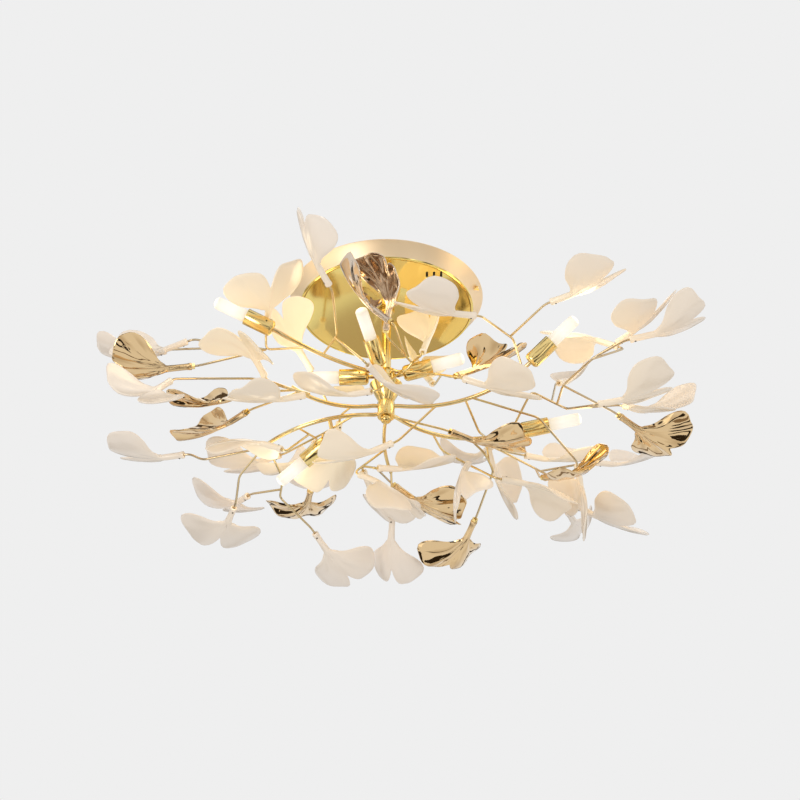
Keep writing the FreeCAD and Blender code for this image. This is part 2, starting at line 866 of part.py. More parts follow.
def arm_run(arm):
    """Points of an arm: out of its hub socket, through its bow, and into its lamp cup."""
    out = direction(arm.bearing, 0)
    height = Vector(0, 0, -hub_level(arm.level))
    first = out * (hub_radius(arm.level) - mm.arm_socket_depth + mm.seat_gap) + height
    second = out * (hub_radius(arm.level) + mm.arm_run_out) + height
    if arm.lamp is None:
        return [first] + bent_run(second, spot(arm.mid), spot(arm.end))
    lamp = LAMPS[arm.lamp]
    along = direction(lamp.heading, lamp.tilt)
    base = lamp_base(arm.lamp)
    last = base + along * (mm.cup_floor + mm.seat_gap)
    return [first] + bent_run(second, spot(arm.mid), base - along * mm.arm_run_out) + [last]


def nearest_on(axes, point):
    """Point of the given axes that lies nearest to a point."""
    vertex = Part.Vertex(point)
    best = min((axis.distToShape(vertex) for axis in axes), key=lambda found: found[0])
    return best[1][0][0]


def leaf_run(leaf, axes):
    """Points of a twig: from the branch, through its route, and into the leaf's neck."""
    neck = spot(leaf.neck)
    along = direction(leaf.heading, leaf.tilt)
    places = [spot(place) for place in leaf.route]
    start = nearest_on(axes, places[0])
    return [start] + places[1:] + [neck - along * mm.twig_bend, neck + along * mm.twig_grip]


def side_lamp_run(axes):
    """The fork of the lower left arm that carries lamp 7."""
    lamp = LAMPS["7"]
    along = direction(lamp.heading, lamp.tilt)
    base = lamp_base("7")
    knee = base - along * mm.arm_run_out * 2
    return [nearest_on(axes, knee), knee, base + along * (mm.cup_floor + mm.seat_gap)]


def make_branch(name):
    """One arm with all the twigs that are brazed to it."""
    arm = ARMS[name]
    run = arm_run(arm)
    solids = [rod_along(run, stock_dia(arm), ARM_SIDES)]
    axes = [Part.makePolygon(run)]
    if name == "south_west":
        fork = side_lamp_run(axes)
        solids.append(rod_along(fork, mm.arm_dia, ARM_SIDES))
        axes.append(Part.makePolygon(fork))
    for leaves in LEAVES.values():
        for leaf in leaves:
            if leaf.branch != name:
                continue
            run = leaf_run(leaf, axes)
            solids.append(rod_along(run, mm.twig_dia, ROD_SIDES))
            axes.append(Part.makePolygon(run[:-1]))
    branch = doc.addObject("Part::Feature", "branch_" + name)
    branch.Shape = solids[0].fuse(solids[1:])
    return branch


# Leaves

VEIN_SHARES = (-1.0, -0.58, -0.15, 0.0, 0.15, 0.58, 1.0)
NECK_SHARES = (-1.0, -1.0, 0.0, 0.0, 0.0, 1.0, 1.0)
KNEE_SHARES = (-1.0, -0.58, 0.0, 0.0, 0.0, 0.58, 1.0)
BLADE_ROOT_SHARE = 0.84
LeafForm = namedtuple("LeafForm", "fan_angle knee_angle edge_shares dome_share bend_share")

LEAF_FORMS = {
    "open": LeafForm(62, 40, (0.60, 0.94, 0.96, 0.60, 0.96, 0.94, 0.60), 0.40, 0.28),
    "cupped": LeafForm(46, 30, (0.66, 0.95, 0.98, 0.72, 0.98, 0.95, 0.66), 0.60, 0.34),
    "folded": LeafForm(37, 26, (0.68, 0.95, 0.98, 0.70, 0.98, 0.95, 0.68), 0.95, 0.34),
    "rippled": LeafForm(50, 34, (0.66, 0.95, 0.98, 0.78, 0.98, 0.95, 0.66), 0.50, 0.30),
}
KNEE_REACH_SHARES = (0.34, 0.43, 0.40, 0.40, 0.40, 0.43, 0.34)


def neck_ring(along):
    """Upper and lower points of the six-sided neck, where veins run together."""
    radius = mm.neck_dia / 2
    upper = []
    for share in NECK_SHARES:
        angle = math.radians(90 - 60 * share)
        upper.append(Vector(along, radius * math.cos(angle), radius * math.sin(angle)))
    return upper, [Vector(point.x, point.y, -point.z) for point in upper]


def blade_ring(form, shares, reach_shares, angle, sheet_metal):
    """Upper and lower points across the blade at one step from the neck to the edge."""
    root = mm.neck_length * BLADE_ROOT_SHARE
    upper = []
    lower = []
    for share, reach_share in zip(shares, reach_shares):
        turn = math.radians(share * angle)
        reach = mm.leaf_reach * reach_share
        x = root + reach * math.cos(turn)
        y = reach * math.sin(turn)
        run = (x - mm.neck_length) / mm.leaf_reach
        side = y / mm.leaf_half_width
        drop = form.dome_share * side ** 2 + form.bend_share * run * abs(run)
        z = -mm.leaf_half_width * drop
        upper.append(Vector(x, y, z + sheet_metal / 2))
        lower.append(Vector(x, y, z - sheet_metal / 2))
    return upper, lower


def facet(*points):
    return Part.Face(Part.makePolygon(list(points) + [points[0]]))


def strip(first, second):
    """Triangles between two rows of as many points, less those without an area."""
    faces = []
    for a, b, c, d in zip(first, first[1:], second[1:], second):
        if a != b:
            faces.append(facet(a, b, c))
        if c != d:
            faces.append(facet(a, c, d))
    return faces


def without_repeats(points):
    return [point for point, following in zip(points, points[1:] + points[:1])
            if point != following]


def make_leaf_master(name):
    """Cast leaf: a tubular neck that opens into a notched fan, bored for its twig."""
    form = LEAF_FORMS[name]
    rings = [
        neck_ring(0),
        neck_ring(mm.neck_length),
        blade_ring(form, KNEE_SHARES, KNEE_REACH_SHARES, form.knee_angle, mm.leaf_sheet),
        blade_ring(form, VEIN_SHARES, form.edge_shares, form.fan_angle, mm.leaf_edge_sheet),
    ]
    faces = []
    for (upper, lower), (next_upper, next_lower) in zip(rings, rings[1:]):
        faces += strip(upper, next_upper)
        faces += strip(lower, next_lower)
        faces += strip([upper[0], lower[0]], [next_upper[0], next_lower[0]])
        faces += strip([upper[-1], lower[-1]], [next_upper[-1], next_lower[-1]])
    faces += strip(*rings[-1])
    mouth = without_repeats(rings[0][0] + rings[0][1][::-1])
    faces.append(facet(*mouth))
    shell = Part.Shell(faces)
    shell.sewShape()
    blank = doc.addObject("Part::Feature", f"leaf_{name}_blank")
    solid = Part.Solid(shell)
    if solid.Volume < 0:
        solid.reverse()
    blank.Shape = solid
    depth = mm.twig_grip + mm.cut_over + mm.seat_gap
    bore = hexagon(f"leaf_{name}_bore", mm.twig_dia + 2 * mm.slide_gap, depth)
    bore.Placement = Placement(Vector(-mm.cut_over, 0, 0), Rotation(Vector(0, 1, 0), 90))
    return cut(f"leaf_{name}_master", blank, [bore])


def make_leaves(masters):
    pieces = []
    for node, leaves in LEAVES.items():
        places = []
        for leaf in leaves:
            place = leaf_placement(spot(leaf.neck), leaf.heading, leaf.tilt, leaf.roll)
            places.append((masters[leaf.form], place))
        if len(places) == 1:
            pieces.append(copy_of(node, *places[0]))
        else:
            pieces.append(copies(node, places))
    return pieces


def make_leaf_nuts():
    """Small nuts on the twigs that lock the gilded leaves."""
    nut = cut("leaf_nut_master", hexagon("leaf_nut_block", mm.leaf_nut_flats, mm.leaf_nut_height), [
        hexagon("leaf_nut_bore", mm.twig_dia + 2 * mm.slide_gap, mm.leaf_nut_height * 2),
    ])
    places = []
    for leaves in LEAVES.values():
        for leaf in leaves:
            if leaf.form == "rippled":
                along = direction(leaf.heading, leaf.tilt)
                back = spot(leaf.neck) - along * (mm.leaf_nut_height + mm.seat_gap)
                places.append((nut, aim(back, leaf.heading, leaf.tilt)))
    return copies("leaf_nuts", places)


# Lamps

CUP_FLOOR_SHARE = 0.5
# The glass's closed end: share of its diameter, and distance from the tip as a share of it
BULB_END = ((1.0, 0.36), (0.76, 0.12), (0.40, 0.0))


def make_cup_master():
    """Lamp cup: a rounded floor with the arm's hole, and a straight thin wall."""
    floor_dia = mm.cup_dia * CUP_FLOOR_SHARE
    blank = faceted_turning("cup_blank", LAMP_SIDES, [
        (floor_dia, 0),
        (mm.cup_dia, mm.cup_shoulder),
        (mm.cup_dia, mm.cup_length),
    ])
    inside = faceted_turning("cup_inside", LAMP_SIDES, [
        (mm.cup_dia - 2 * mm.cup_sheet, mm.cup_shoulder),
        (mm.cup_dia - 2 * mm.cup_sheet, mm.cup_length + mm.cut_over),
    ])
    hole = bar_stock(
        "cup_hole",
        ARM_SIDES,
        clear_dia(mm.arm_dia, ARM_SIDES),
        mm.cup_shoulder + 2 * mm.cut_over,
        Placement(Vector(0, 0, -mm.cut_over), Rotation()),
    )
    return cut("cup_master", blank, [inside, hole])


def socket_dia():
    return mm.cup_dia - 2 * mm.cup_sheet - 2 * mm.seat_gap


def make_socket_master():
    """Ceramic two-pin socket that stands in the cup."""
    blank = faceted_turning("socket_blank", LAMP_SIDES, [
        (socket_dia(), mm.socket_seat),
        (socket_dia(), mm.socket_seat + mm.socket_length),
    ])
    top = mm.socket_seat + mm.socket_length
    tools = []
    for number, side in enumerate((-1, 1)):
        at = Placement(
            Vector(side * mm.pin_pitch / 2, 0, top - mm.pin_length - 2 * mm.seat_gap),
            Rotation(),
        )
        tools.append(bar_stock(
            f"pin_hole_cutter_{number + 1}",
            PIN_SIDES,
            mm.pin_hole_dia,
            mm.pin_length + 2 * mm.cut_over,
            at,
        ))
    return cut("socket_master", blank, tools)


def make_bulb_master():
    """Capsule lamp: round-ended frosted glass on a narrower base with two pins."""
    end = [(mm.bulb_dia * dia, mm.bulb_length - mm.bulb_dia * back) for dia, back in BULB_END]
    glass = faceted_turning("bulb_glass", LAMP_SIDES, [(mm.bulb_dia, 0)] + end)
    pins = []
    for number, side in enumerate((-1, 1)):
        pins.append(bar_stock(
            f"pin_{number + 1}",
            PIN_SIDES,
            mm.pin_dia,
            mm.pin_length + mm.pin_dia,
            Placement(Vector(side * mm.pin_pitch / 2, 0, -mm.pin_length), Rotation()),
        ))
    bulb = doc.addObject("Part::MultiFuse", "bulb_master")
    bulb.Shapes = [glass] + pins
    return bulb


def lamp_place(number, along):
    """Placement at a distance along a lamp's axis from its cup's floor."""
    lamp = LAMPS[number]
    point = lamp_base(number) + direction(lamp.heading, lamp.tilt) * along
    return aim(point, lamp.heading, lamp.tilt)


def make_lamps():
    cup = make_cup_master()
    socket = make_socket_master()
    bulb = make_bulb_master()
    seat = mm.socket_seat + mm.socket_length + mm.seat_gap
    pieces = [
        copies("lamp_cups", [(cup, lamp_place(number, 0)) for number in LAMPS]),
        copies("lamp_sockets", [(socket, lamp_place(number, 0)) for number in LAMPS]),
    ]
    for number in LAMPS:
        pieces.append(copy_of(f"bulb_{number}", bulb, lamp_place(number, seat)))
    return pieces


def make_lamp_nipples():
    """Short pipes between the ring and the three centre lamps."""
    nipples = []
    for number, lamp in LAMPS.items():
        if lamp.base is None:
            knee = nipple_knee(lamp)
            start = knee - direction(lamp.heading, 0) * mm.nipple_bend
            end = lamp_base(number) + direction(lamp.heading, lamp.tilt) * mm.cup_floor
            nipples.append(rod_along([start, knee, end], mm.arm_dia, ARM_SIDES))
    piece = doc.addObject("Part::Feature", "lamp_nipples")
    piece.Shape = Part.makeCompound(nipples)
    return piece


# Assembly

def build():
    pieces = [
        make_canopy_pan(),
        make_mounting_bar(),
        make_canopy_screws(),
        make_terminal_block(),
        make_stem_tube(),
        make_stem_nuts(),
        make_lamp_ring(arm_roots("ring")),
        make_hub_cone(),
        make_hub_core(arm_roots("core_high", "core_low")),
        make_hub_nipple(),
        make_hub_finial(),
        make_lamp_nipples(),
    ]
    pieces += [make_branch(name) for name in ARMS]
    pieces += make_lamps()
    masters = {name: make_leaf_master(name) for name in LEAF_FORMS}
    pieces += make_leaves(masters)
    pieces.append(make_leaf_nuts())
    doc.recompute()
    return pieces


def check(pieces):
    for item in doc.Objects:
        if "Invalid" in item.State or "Error" in item.State:
            raise RuntimeError(f"{item.Label} did not recompute: {item.State}")
    for piece in pieces:
        shape = Part.getShape(piece)
        if shape.isNull() or not shape.isValid() or not shape.Solids:
            raise RuntimeError(f"{piece.Label} has no valid solid")


def write(pieces):
    os.makedirs("parts", exist_ok=True)
    for piece in pieces:
        Part.getShape(piece).exportStep(f"parts/{piece.Label}.step")


nodes = build()
check(nodes)
write(nodes)
print(len(nodes), "nodes")
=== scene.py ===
import math
import random
from collections import namedtuple

import bpy
import numpy as np
from bpy.props import FloatProperty, FloatVectorProperty, PointerProperty
from mathutils import Matrix, Vector


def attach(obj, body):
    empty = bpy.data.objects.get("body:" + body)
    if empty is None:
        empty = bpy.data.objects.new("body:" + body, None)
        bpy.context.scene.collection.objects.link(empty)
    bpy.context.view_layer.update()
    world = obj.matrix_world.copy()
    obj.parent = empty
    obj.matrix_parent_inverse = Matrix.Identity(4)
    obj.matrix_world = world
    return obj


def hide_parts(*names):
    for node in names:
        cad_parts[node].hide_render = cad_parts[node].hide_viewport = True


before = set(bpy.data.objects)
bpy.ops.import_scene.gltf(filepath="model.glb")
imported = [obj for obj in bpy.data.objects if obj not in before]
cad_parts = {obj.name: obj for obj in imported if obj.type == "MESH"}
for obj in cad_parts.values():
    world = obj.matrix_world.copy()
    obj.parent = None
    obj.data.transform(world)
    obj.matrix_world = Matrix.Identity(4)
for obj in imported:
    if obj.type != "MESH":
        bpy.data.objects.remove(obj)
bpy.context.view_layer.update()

# Looks of a ceiling light: gilded branches with ginkgo leaves, capsule lamps and a round canopy.
# Metres, +Z up. The origin is the middle of the canopy's ceiling face.

bl_info = {
    "name": "Ginkgo leaf ceiling light",
    "version": (1, 0, 0),
    "blender": (4, 5, 0),
    "location": "View3D > Sidebar > Leaf light",
    "description": "Dresses the packed frame of a ceiling light with leaves, branches and lamps",
    "category": "Object",
}

SPREAD_RADIUS, HANG_DEPTH = 0.400, 0.300
UV_LAYER = "leaf"


# Settings that a user would change

def size_of(name, description, default):
    return FloatProperty(name=name, description=description, default=default, unit="LENGTH")


def colour_of(name, description, default):
    return FloatVectorProperty(
        name=name, description=description, default=default, subtype="COLOR")


class LightSizes(bpy.types.PropertyGroup):
    """Sizes of the dressed pieces"""

    arm_dia: size_of("Arm", "Diameter of the arms", 0.0052)
    slim_arm_dia: size_of("Slim arm", "Diameter of the two slim arms", 0.0043)
    twig_dia: size_of("Twig", "Diameter of the twigs", 0.0029)
    leaf_reach: size_of("Leaf reach", "Length of a leaf's blade", 0.0811)
    leaf_half_width: size_of("Leaf half width", "Half the width that shapes the dome", 0.054)
    leaf_sheet: size_of("Leaf sheet", "Thickness of a leaf at its middle", 0.0036)
    neck_dia: size_of("Neck", "Diameter of a leaf's neck", 0.0088)
    neck_length: size_of("Neck length", "Length of a leaf's neck", 0.024)
    cup_dia: size_of("Lamp cup", "Diameter of a lamp cup", 0.021)
    bulb_dia: size_of("Capsule", "Diameter of a lamp's glass", 0.016)


class LightColours(bpy.types.PropertyGroup):
    """Colours of the finishes"""

    white_leaf: colour_of("White leaf", "The cast white leaves", (0.96, 0.89, 0.825))
    glow: colour_of("Glow", "The light that shines through a leaf", (1.0, 0.84, 0.40))
    gold: colour_of("Gold", "The plated metal", (0.94, 0.74, 0.32))
    branch: colour_of("Branch", "The arms near the hub", (0.90, 0.72, 0.36))
    # Painted shade: the browner gold that the arms and twigs take further from the middle
    twig_shade: colour_of("Outer twig", "The arms and twigs further out", (0.66, 0.52, 0.33))
    canopy_face: colour_of("Canopy face", "The canopy's mirror face", (0.91, 0.70, 0.21))
    canopy_wall: colour_of("Canopy wall", "The canopy's satin wall", (1.0, 0.80, 0.54))
    leaf_gold: colour_of("Leaf gold", "The plated leaves", (0.80, 0.58, 0.32))
    smoked_gold: colour_of("Smoked gold", "The two leaves at the stem", (0.74, 0.62, 0.50))
    glass: colour_of("Glass", "The frosted capsules", (1.0, 0.96, 0.88))
    backdrop: colour_of("Backdrop", "The backdrop and floor", (0.863, 0.863, 0.863))


def sizes():
    return bpy.context.scene.leaf_light_sizes


def colours():
    return bpy.context.scene.leaf_light_colours


# Shader maths

class Value:
    """A shader socket: sums and products of it add Math nodes."""

    def __init__(self, graph, socket):
        self.graph = graph
        self.socket = socket

    def output(self, key):
        """Another output of the same node."""
        return Value(self.graph, self.socket.node.outputs[key])

    def maths(self, operation, *others):
        return self.graph.maths(operation, self, *others)

    def __add__(self, other):
        return self.maths("ADD", other)

    __radd__ = __add__

    def __sub__(self, other):
        return self.maths("SUBTRACT", other)

    def __rsub__(self, other):
        return self.graph.maths("SUBTRACT", other, self)

    def __mul__(self, other):
        return self.maths("MULTIPLY", other)

    __rmul__ = __mul__

    def __truediv__(self, other):
        return self.maths("DIVIDE", other)

    def __rtruediv__(self, other):
        return self.graph.maths("DIVIDE", other, self)

    def __pow__(self, other):
        return self.maths("POWER", other)

    def clamped(self):
        return self.graph.maths("ADD", self, 0.0, use_clamp=True)


class Graph:
    """A material's or a world's nodes, made by expressions."""

    def __init__(self, name, world=False):
        store = bpy.data.worlds if world else bpy.data.materials
        self.owner = store.new(name)
        self.owner.use_nodes = True
        self.tree = self.owner.node_tree
        self.shader = self.tree.nodes["Background" if world else "Principled BSDF"]
        self.end = self.tree.nodes["World Output" if world else "Material Output"]

    def node(self, kind, settings=None, outputs=0, **values):
        """Adds a node: its settings first, then the values or links of its sockets."""
        made = self.tree.nodes.new(kind)
        for name, value in (settings or {}).items():
            if name == "stops":
                ramp = made.color_ramp
                while len(ramp.elements) < len(value):
                    ramp.elements.new(0.5)
                for element, (position, colour) in zip(ramp.elements, value):
                    element.position = position
                    element.color = (*colour, 1.0)
            else:
                setattr(made, name, value)
        for name, value in values.items():
            spot = int(name[1:]) if name[0] == "_" else name.replace("_", " ")
            self.feed(made.inputs[spot], value)
        return Value(self, made.outputs[outputs])

    def feed(self, socket, value):
        if isinstance(value, Value):
            self.tree.links.new(value.socket, socket)
        elif hasattr(value, "__len__") and len(value) == 3 and len(socket.default_value) == 4:
            socket.default_value = (*value, 1.0)
        else:
            socket.default_value = value

    def maths(self, operation, *values, use_clamp=False):
        settings = {"operation": operation, "use_clamp": use_clamp}
        return self.node("ShaderNodeMath", settings,
                         **{f"_{number}": value for number, value in enumerate(values)})

    def vector_maths(self, operation, first, second=(0, 0, 0), outputs=0):
        settings = {"operation": operation}
        return self.node("ShaderNodeVectorMath", settings, outputs, _0=first, _1=second)

    def mix(self, factor, first, second):
        return self.node("ShaderNodeMix", {"data_type": "RGBA"}, outputs=2,
                         _0=factor, _6=first, _7=second)

    def split(self, vector):
        parts = self.node("ShaderNodeSeparateXYZ", _0=vector)
        return [parts.output(axis) for axis in range(3)]

    def sheet_shares(self):
        """Shares across and along a piece, from its UV layer."""
        return self.split(self.node("ShaderNodeUVMap", {"uv_map": UV_LAYER}))[:2]

    def position(self):
        return self.node("ShaderNodeNewGeometry")

    def noise(self, scale, detail=2.0, vector=None):
        if vector is None:
            vector = self.node("ShaderNodeTexCoord", outputs=3)
        return self.node("ShaderNodeTexNoise", Vector=vector, Scale=scale, Detail=detail)

    def ramp(self, factor, *stops):
        return self.node("ShaderNodeValToRGB", {"stops": stops}, _0=factor)

    def step(self, factor, low, high):
        """Black up to the low value, white from the high one."""
        return self.ramp(factor, (low, (0, 0, 0)), (high, (1, 1, 1)))

    def bump(self, height, strength, distance):
        return self.node("ShaderNodeBump", Height=height, Strength=strength, Distance=distance)

    def rays(self, *kinds):
        """Whether the ray that sees the surface is of each kind."""
        path = self.node("ShaderNodeLightPath")
        return [path.output(f"Is {kind} Ray") for kind in kinds]

    def finish(self, **values):
        """Feeds the main shader: varying values by link, even ones on its own sockets."""
        for name, value in values.items():
            self.feed(self.shader.inputs[name.replace("_", " ")], value)
        return self.owner

    def show(self, shader):
        """Shows a shader in place of the main one."""
        self.feed(self.end.inputs[0], shader)
        return self.owner

    def show_mix(self, factor, first, second):
        return self.show(self.node("ShaderNodeMixShader", _0=factor, _1=first, _2=second))


# Places, repeated from the part's source: (reach share, bearing in degrees, drop share)

Arm = namedtuple("Arm", "bearing level stock mid end lamp")
Lamp = namedtuple("Lamp", "base heading tilt")
Leaf = namedtuple("Leaf", "branch form route neck heading tilt roll")

VENT_X_SHARE = 0.54
VENT_Y_SHARE = 0.613
VENT_SHIFT = 0.008

LAMPS = {
    "1": Lamp(None, 178, 0),
    "2": Lamp(None, -9, 12),
    "3": Lamp(None, -112, 35),
    "4": Lamp((0.43, -144, 0.41), -165, 21),
    "5": Lamp((0.47, -17, 0.47), -28, 35),
    "6": Lamp((0.44, 15, 0.59), -6, 10),
    "7": Lamp((0.20, 158, 0.68), 155, -32),
}

ARMS = {
    "west_upper": Arm(-147, "ring", "arm", (0.25, -142, 0.445), None, "4"),
    "west": Arm(-174, "core_high", "arm", (0.14, -174, 0.575), (0.30, -173, 0.50), None),
    "south_west": Arm(168, "core_low", "arm", (0.22, 179, 0.64), (0.41, 163, 0.67), None),
    "south": Arm(92, "core_low", "slim", (0.12, 93, 0.65), (0.22, 86, 0.71), None),
    "south_east": Arm(36, "core_low", "arm", (0.21, 28, 0.63), None, "6"),
    "east": Arm(-4, "core_high", "arm", (0.24, -4, 0.55), None, "5"),
    "north": Arm(-60, "ring", "slim", (0.08, -42, 0.43), (0.11, -42, 0.41), None),
}

LEAVES = {
    "white_leaves_near_left": [
        Leaf("west_upper", "cupped", [(0.25, -142, 0.45), (0.27, -124, 0.41)],
             (0.52, -109, 0.42), -117, 20, -46),
        Leaf("west_upper", "open", [(0.31, -142, 0.43), (0.41, -156, 0.43)],
             (0.43, -150, 0.34), -82, -1, 24),
    ],
    "white_leaves_far_left": [
        Leaf("west_upper", "open", [(0.42, -157, 0.44)], (0.64, 179, 0.22), 174, -21, -54),
        Leaf("west_upper", "cupped", [(0.52, -163, 0.45)], (0.72, 174, 0.21), 147, 6, -7),
    ],
    "gold_leaf_far_left": [
        Leaf("west_upper", "rippled", [(0.41, -156, 0.43)], (0.62, -168, 0.48), -180, -7, -72),
    ],
    "white_leaves_stem": [
        Leaf("west_upper", "open", [(0.28, -128, 0.40)], (0.43, -97, 0.75), 59, -5, 39),
        Leaf("north", "open", [(0.07, -40, 0.41)], (0.27, -99, 0.73), 146, 13, -19),
    ],
    "white_leaves_left": [
        Leaf("west", "open", [(0.27, -173, 0.51)], (0.40, -161, 0.53), -110, 11, 154),
        Leaf("west", "folded", [(0.18, -174, 0.53)], (0.25, 164, 0.32), -127, 33, -120),
    ],
    "gold_leaf_left_low": [
        Leaf("west", "rippled", [(0.27, -173, 0.51)], (0.45, 172, 0.54), 139, -6, -46),
    ],
    "white_leaves_left_tip": [
        Leaf("west", "open", [(0.27, -173, 0.51), (0.42, -170, 0.49), (0.60, -172, 0.50)],
             (0.69, -164, 0.61), -132, -48, -46),
        Leaf("west", "open", [(0.35, -171, 0.50)], (0.30, -146, 0.66), -171, -18, -27),
    ],
    "gold_leaf_left": [
        Leaf("west", "rippled", [(0.29, -171, 0.51)], (0.46, -171, 0.57), 140, 6, -28),
    ],
    "white_leaves_hanging": [
        Leaf("west", "cupped", [(0.11, -176, 0.58)], (0.16, 158, 0.59), 100, -41, -17),
        Leaf("south_west", "folded", [(0.28, 176, 0.65)], (0.27, 147, 0.62), 115, -3, -37),
        Leaf("south_west", "cupped", [(0.18, 167, 0.65)], (0.47, 118, 0.42), 95, -10, -6),
    ],
    "white_leaves_low_left": [
        Leaf("south_west", "open", [(0.10, -166, 0.62), (0.19, 166, 0.65)],
             (0.45, 140, 0.56), 151, -2, -4),
        Leaf("south_west", "open", [(0.27, 160, 0.65)], (0.33, -166, 0.85), 150, 33, 155),
    ],
    "white_leaves_far_low": [
        Leaf("south_west", "cupped", [(0.36, 156, 0.65), (0.41, 144, 0.72), (0.48, 136, 0.74)],
             (0.56, 115, 0.78), 55, -26, -13),
        Leaf("south_west", "open", [(0.45, 139, 0.73)], (0.61, 138, 0.67), 122, 10, 5),
    ],
    "gold_leaf_low_left": [
        Leaf("south_west", "rippled", [(0.22, 163, 0.65), (0.34, 135, 0.71)],
             (0.38, 130, 0.74), 99, 1, -8),
    ],
    "white_leaves_low_tip": [
        Leaf("south_west", "open", [(0.41, 163, 0.67), (0.53, 153, 0.71)],
             (0.61, 144, 0.77), 109, -10, 2),
        Leaf("south_west", "open", [(0.41, 163, 0.67), (0.61, 164, 0.69)],
             (0.66, 167, 0.68), 162, 3, -13),
    ],
    "white_leaves_far_middle": [
        Leaf("south", "folded", [(0.22, 86, 0.71)], (0.54, 88, 0.67), 94, -39, 24),
        Leaf("south", "cupped", [(0.21, 86, 0.70)], (0.29, 105, 0.65), 69, -23, 25),
    ],
    "white_leaves_middle_low": [
        Leaf("south", "open", [(0.21, 86, 0.70)], (0.09, 107, 0.80), 22, 11, 36),
        Leaf("south", "open", [(0.14, 91, 0.66)], (0.16, 122, 0.79), -18, -33, -156),
    ],
    "gold_leaf_middle_low": [
        Leaf("south", "rippled", [(0.21, 105, 0.68)], (0.54, 87, 0.51), 10, -36, 5),
    ],
    "gold_leaf_middle": [
        Leaf("south_east", "rippled", [(0.05, 3, 0.61)], (0.21, 11, 0.66), 12, -17, 23),
    ],
    "white_leaves_right_low": [
        Leaf("south_east", "cupped", [(0.17, 30, 0.63), (0.24, 42, 0.65), (0.32, 38, 0.68)],
             (0.39, 21, 0.81), 17, -1, -165),
        Leaf("south_east", "folded", [(0.32, 38, 0.68)], (0.28, 22, 0.76), -113, -53, -147),
        Leaf("east", "open", [(0.27, -5, 0.55), (0.48, -1, 0.63)], (0.61, 9, 0.78), 80, -13, -115),
    ],
    "gold_leaf_far_right_low": [
        Leaf("south_east", "rippled", [(0.29, 24, 0.62), (0.35, 26, 0.67), (0.40, 31, 0.71)],
             (0.56, 59, 0.74), 111, -21, -15),
    ],
    "white_leaves_right_inner": [
        Leaf("south_east", "open", [(0.37, 29, 0.69)], (0.38, 31, 0.60), 74, -27, 89),
        Leaf("south_east", "open", [(0.31, 22, 0.61), (0.40, 25, 0.64)],
             (0.53, 32, 0.57), 23, 3, 33),
    ],
    "white_leaves_right_far": [
        Leaf("south_east", "open", [(0.41, 25, 0.64), (0.61, 28, 0.68)],
             (0.73, 32, 0.74), -22, -40, 2),
        Leaf("south_east", "folded", [(0.61, 28, 0.68)], (0.84, 44, 0.61), 70, 4, -33),
    ],
    "gold_leaf_right_low": [
        Leaf("south_east", "rippled", [(0.54, 27, 0.67)], (0.50, 8, 0.86), -47, -25, 43),
    ],
    "white_leaves_right": [
        Leaf("south_east", "open", [(0.40, 15, 0.57), (0.46, 0, 0.49), (0.57, 2, 0.56)],
             (0.67, -12, 0.68), -5, 9, 6),
        Leaf("south_east", "open", [(0.57, 2, 0.56)], (0.78, 11, 0.43), -34, -29, 44),
        Leaf("south_east", "cupped", [(0.56, 27, 0.67)], (0.79, 29, 0.52), 35, 15, 20),
    ],
    "white_leaves_right_upper": [
        Leaf("south_east", "cupped", [(0.53, 5, 0.56), (0.56, -8, 0.53), (0.67, -16, 0.49)],
             (0.79, -17, 0.44), -9, 9, 2),
        Leaf("south_east", "open", [(0.67, -16, 0.49)], (0.74, -11, 0.37), -55, -2, 31),
        Leaf("south_east", "open", [(0.65, -18, 0.50)], (0.74, -5, 0.32), 171, 26, 163),
    ],
    "gold_leaf_right": [
        Leaf("south_east", "rippled", [(0.56, -8, 0.53)], (0.74, 3, 0.58), 36, -16, -8),
    ],
    "white_leaves_east": [
        Leaf("east", "folded", [(0.16, -1, 0.57)], (0.02, 2, 0.75), -170, -30, -5),
        Leaf("east", "folded", [(0.25, -5, 0.55), (0.31, 18, 0.61)], (0.47, 43, 0.49), 118, 7, 4),
        Leaf("south_east", "folded", [(0.53, 0, 0.52)], (0.59, 18, 0.28), 54, 34, -15),
    ],
    "white_leaves_near_right": [
        Leaf("east", "open", [(0.45, -15, 0.50), (0.43, -22, 0.37)],
             (0.50, -57, 0.50), -157, -10, -15),
        Leaf("east", "open", [(0.46, -26, 0.37)], (0.59, -30, 0.31), -31, 1, 18),
    ],
    "gold_leaves_near": [
        Leaf("north", "rippled", [(0.13, -38, 0.41)], (0.17, -90, 0.33), -81, 30, 121),
        Leaf("north", "rippled", [(0.14, -56, 0.40)], (0.35, -88, 0.46), 168, 46, -7),
    ],
    "white_leaves_north": [
        Leaf("north", "folded", [(0.11, -42, 0.41)], (0.19, -53, 0.43), 66, 61, -17),
        Leaf("north", "open", [(0.07, -36, 0.41), (0.19, -30, 0.49)],
             (0.30, -37, 0.59), -11, -27, 8),
        Leaf("north", "folded", [(0.21, -32, 0.49)], (0.15, 8, 0.43), 110, 47, 12),
    ],
    "gold_leaf_north": [
        Leaf("north", "rippled", [(0.24, -24, 0.50)], (0.23, -14, 0.46), 25, 33, 39),
    ],
}

RING_RADIUS, RING_LEVEL = 0.0125, 0.124
CORE_RADIUS, CORE_TOP, CORE_HEIGHT = 0.011, 0.1643, 0.022
HUB_SOCKETS = {  # radius and depth
    "ring": (RING_RADIUS, RING_LEVEL),
    "core_high": (CORE_RADIUS, CORE_TOP + CORE_HEIGHT * 0.25),
    "core_low": (CORE_RADIUS, CORE_TOP + CORE_HEIGHT * 0.72),
}
NIPPLE_BEND, NIPPLE_LENGTH, SEAT_GAP = 0.003, 0.006, 0.0003
SOCKET_DEPTH, RUN_OUT, CUP_FLOOR, TWIG_BEND, TWIG_GRIP = 0.0032, 0.005, 0.003, 0.008, 0.009


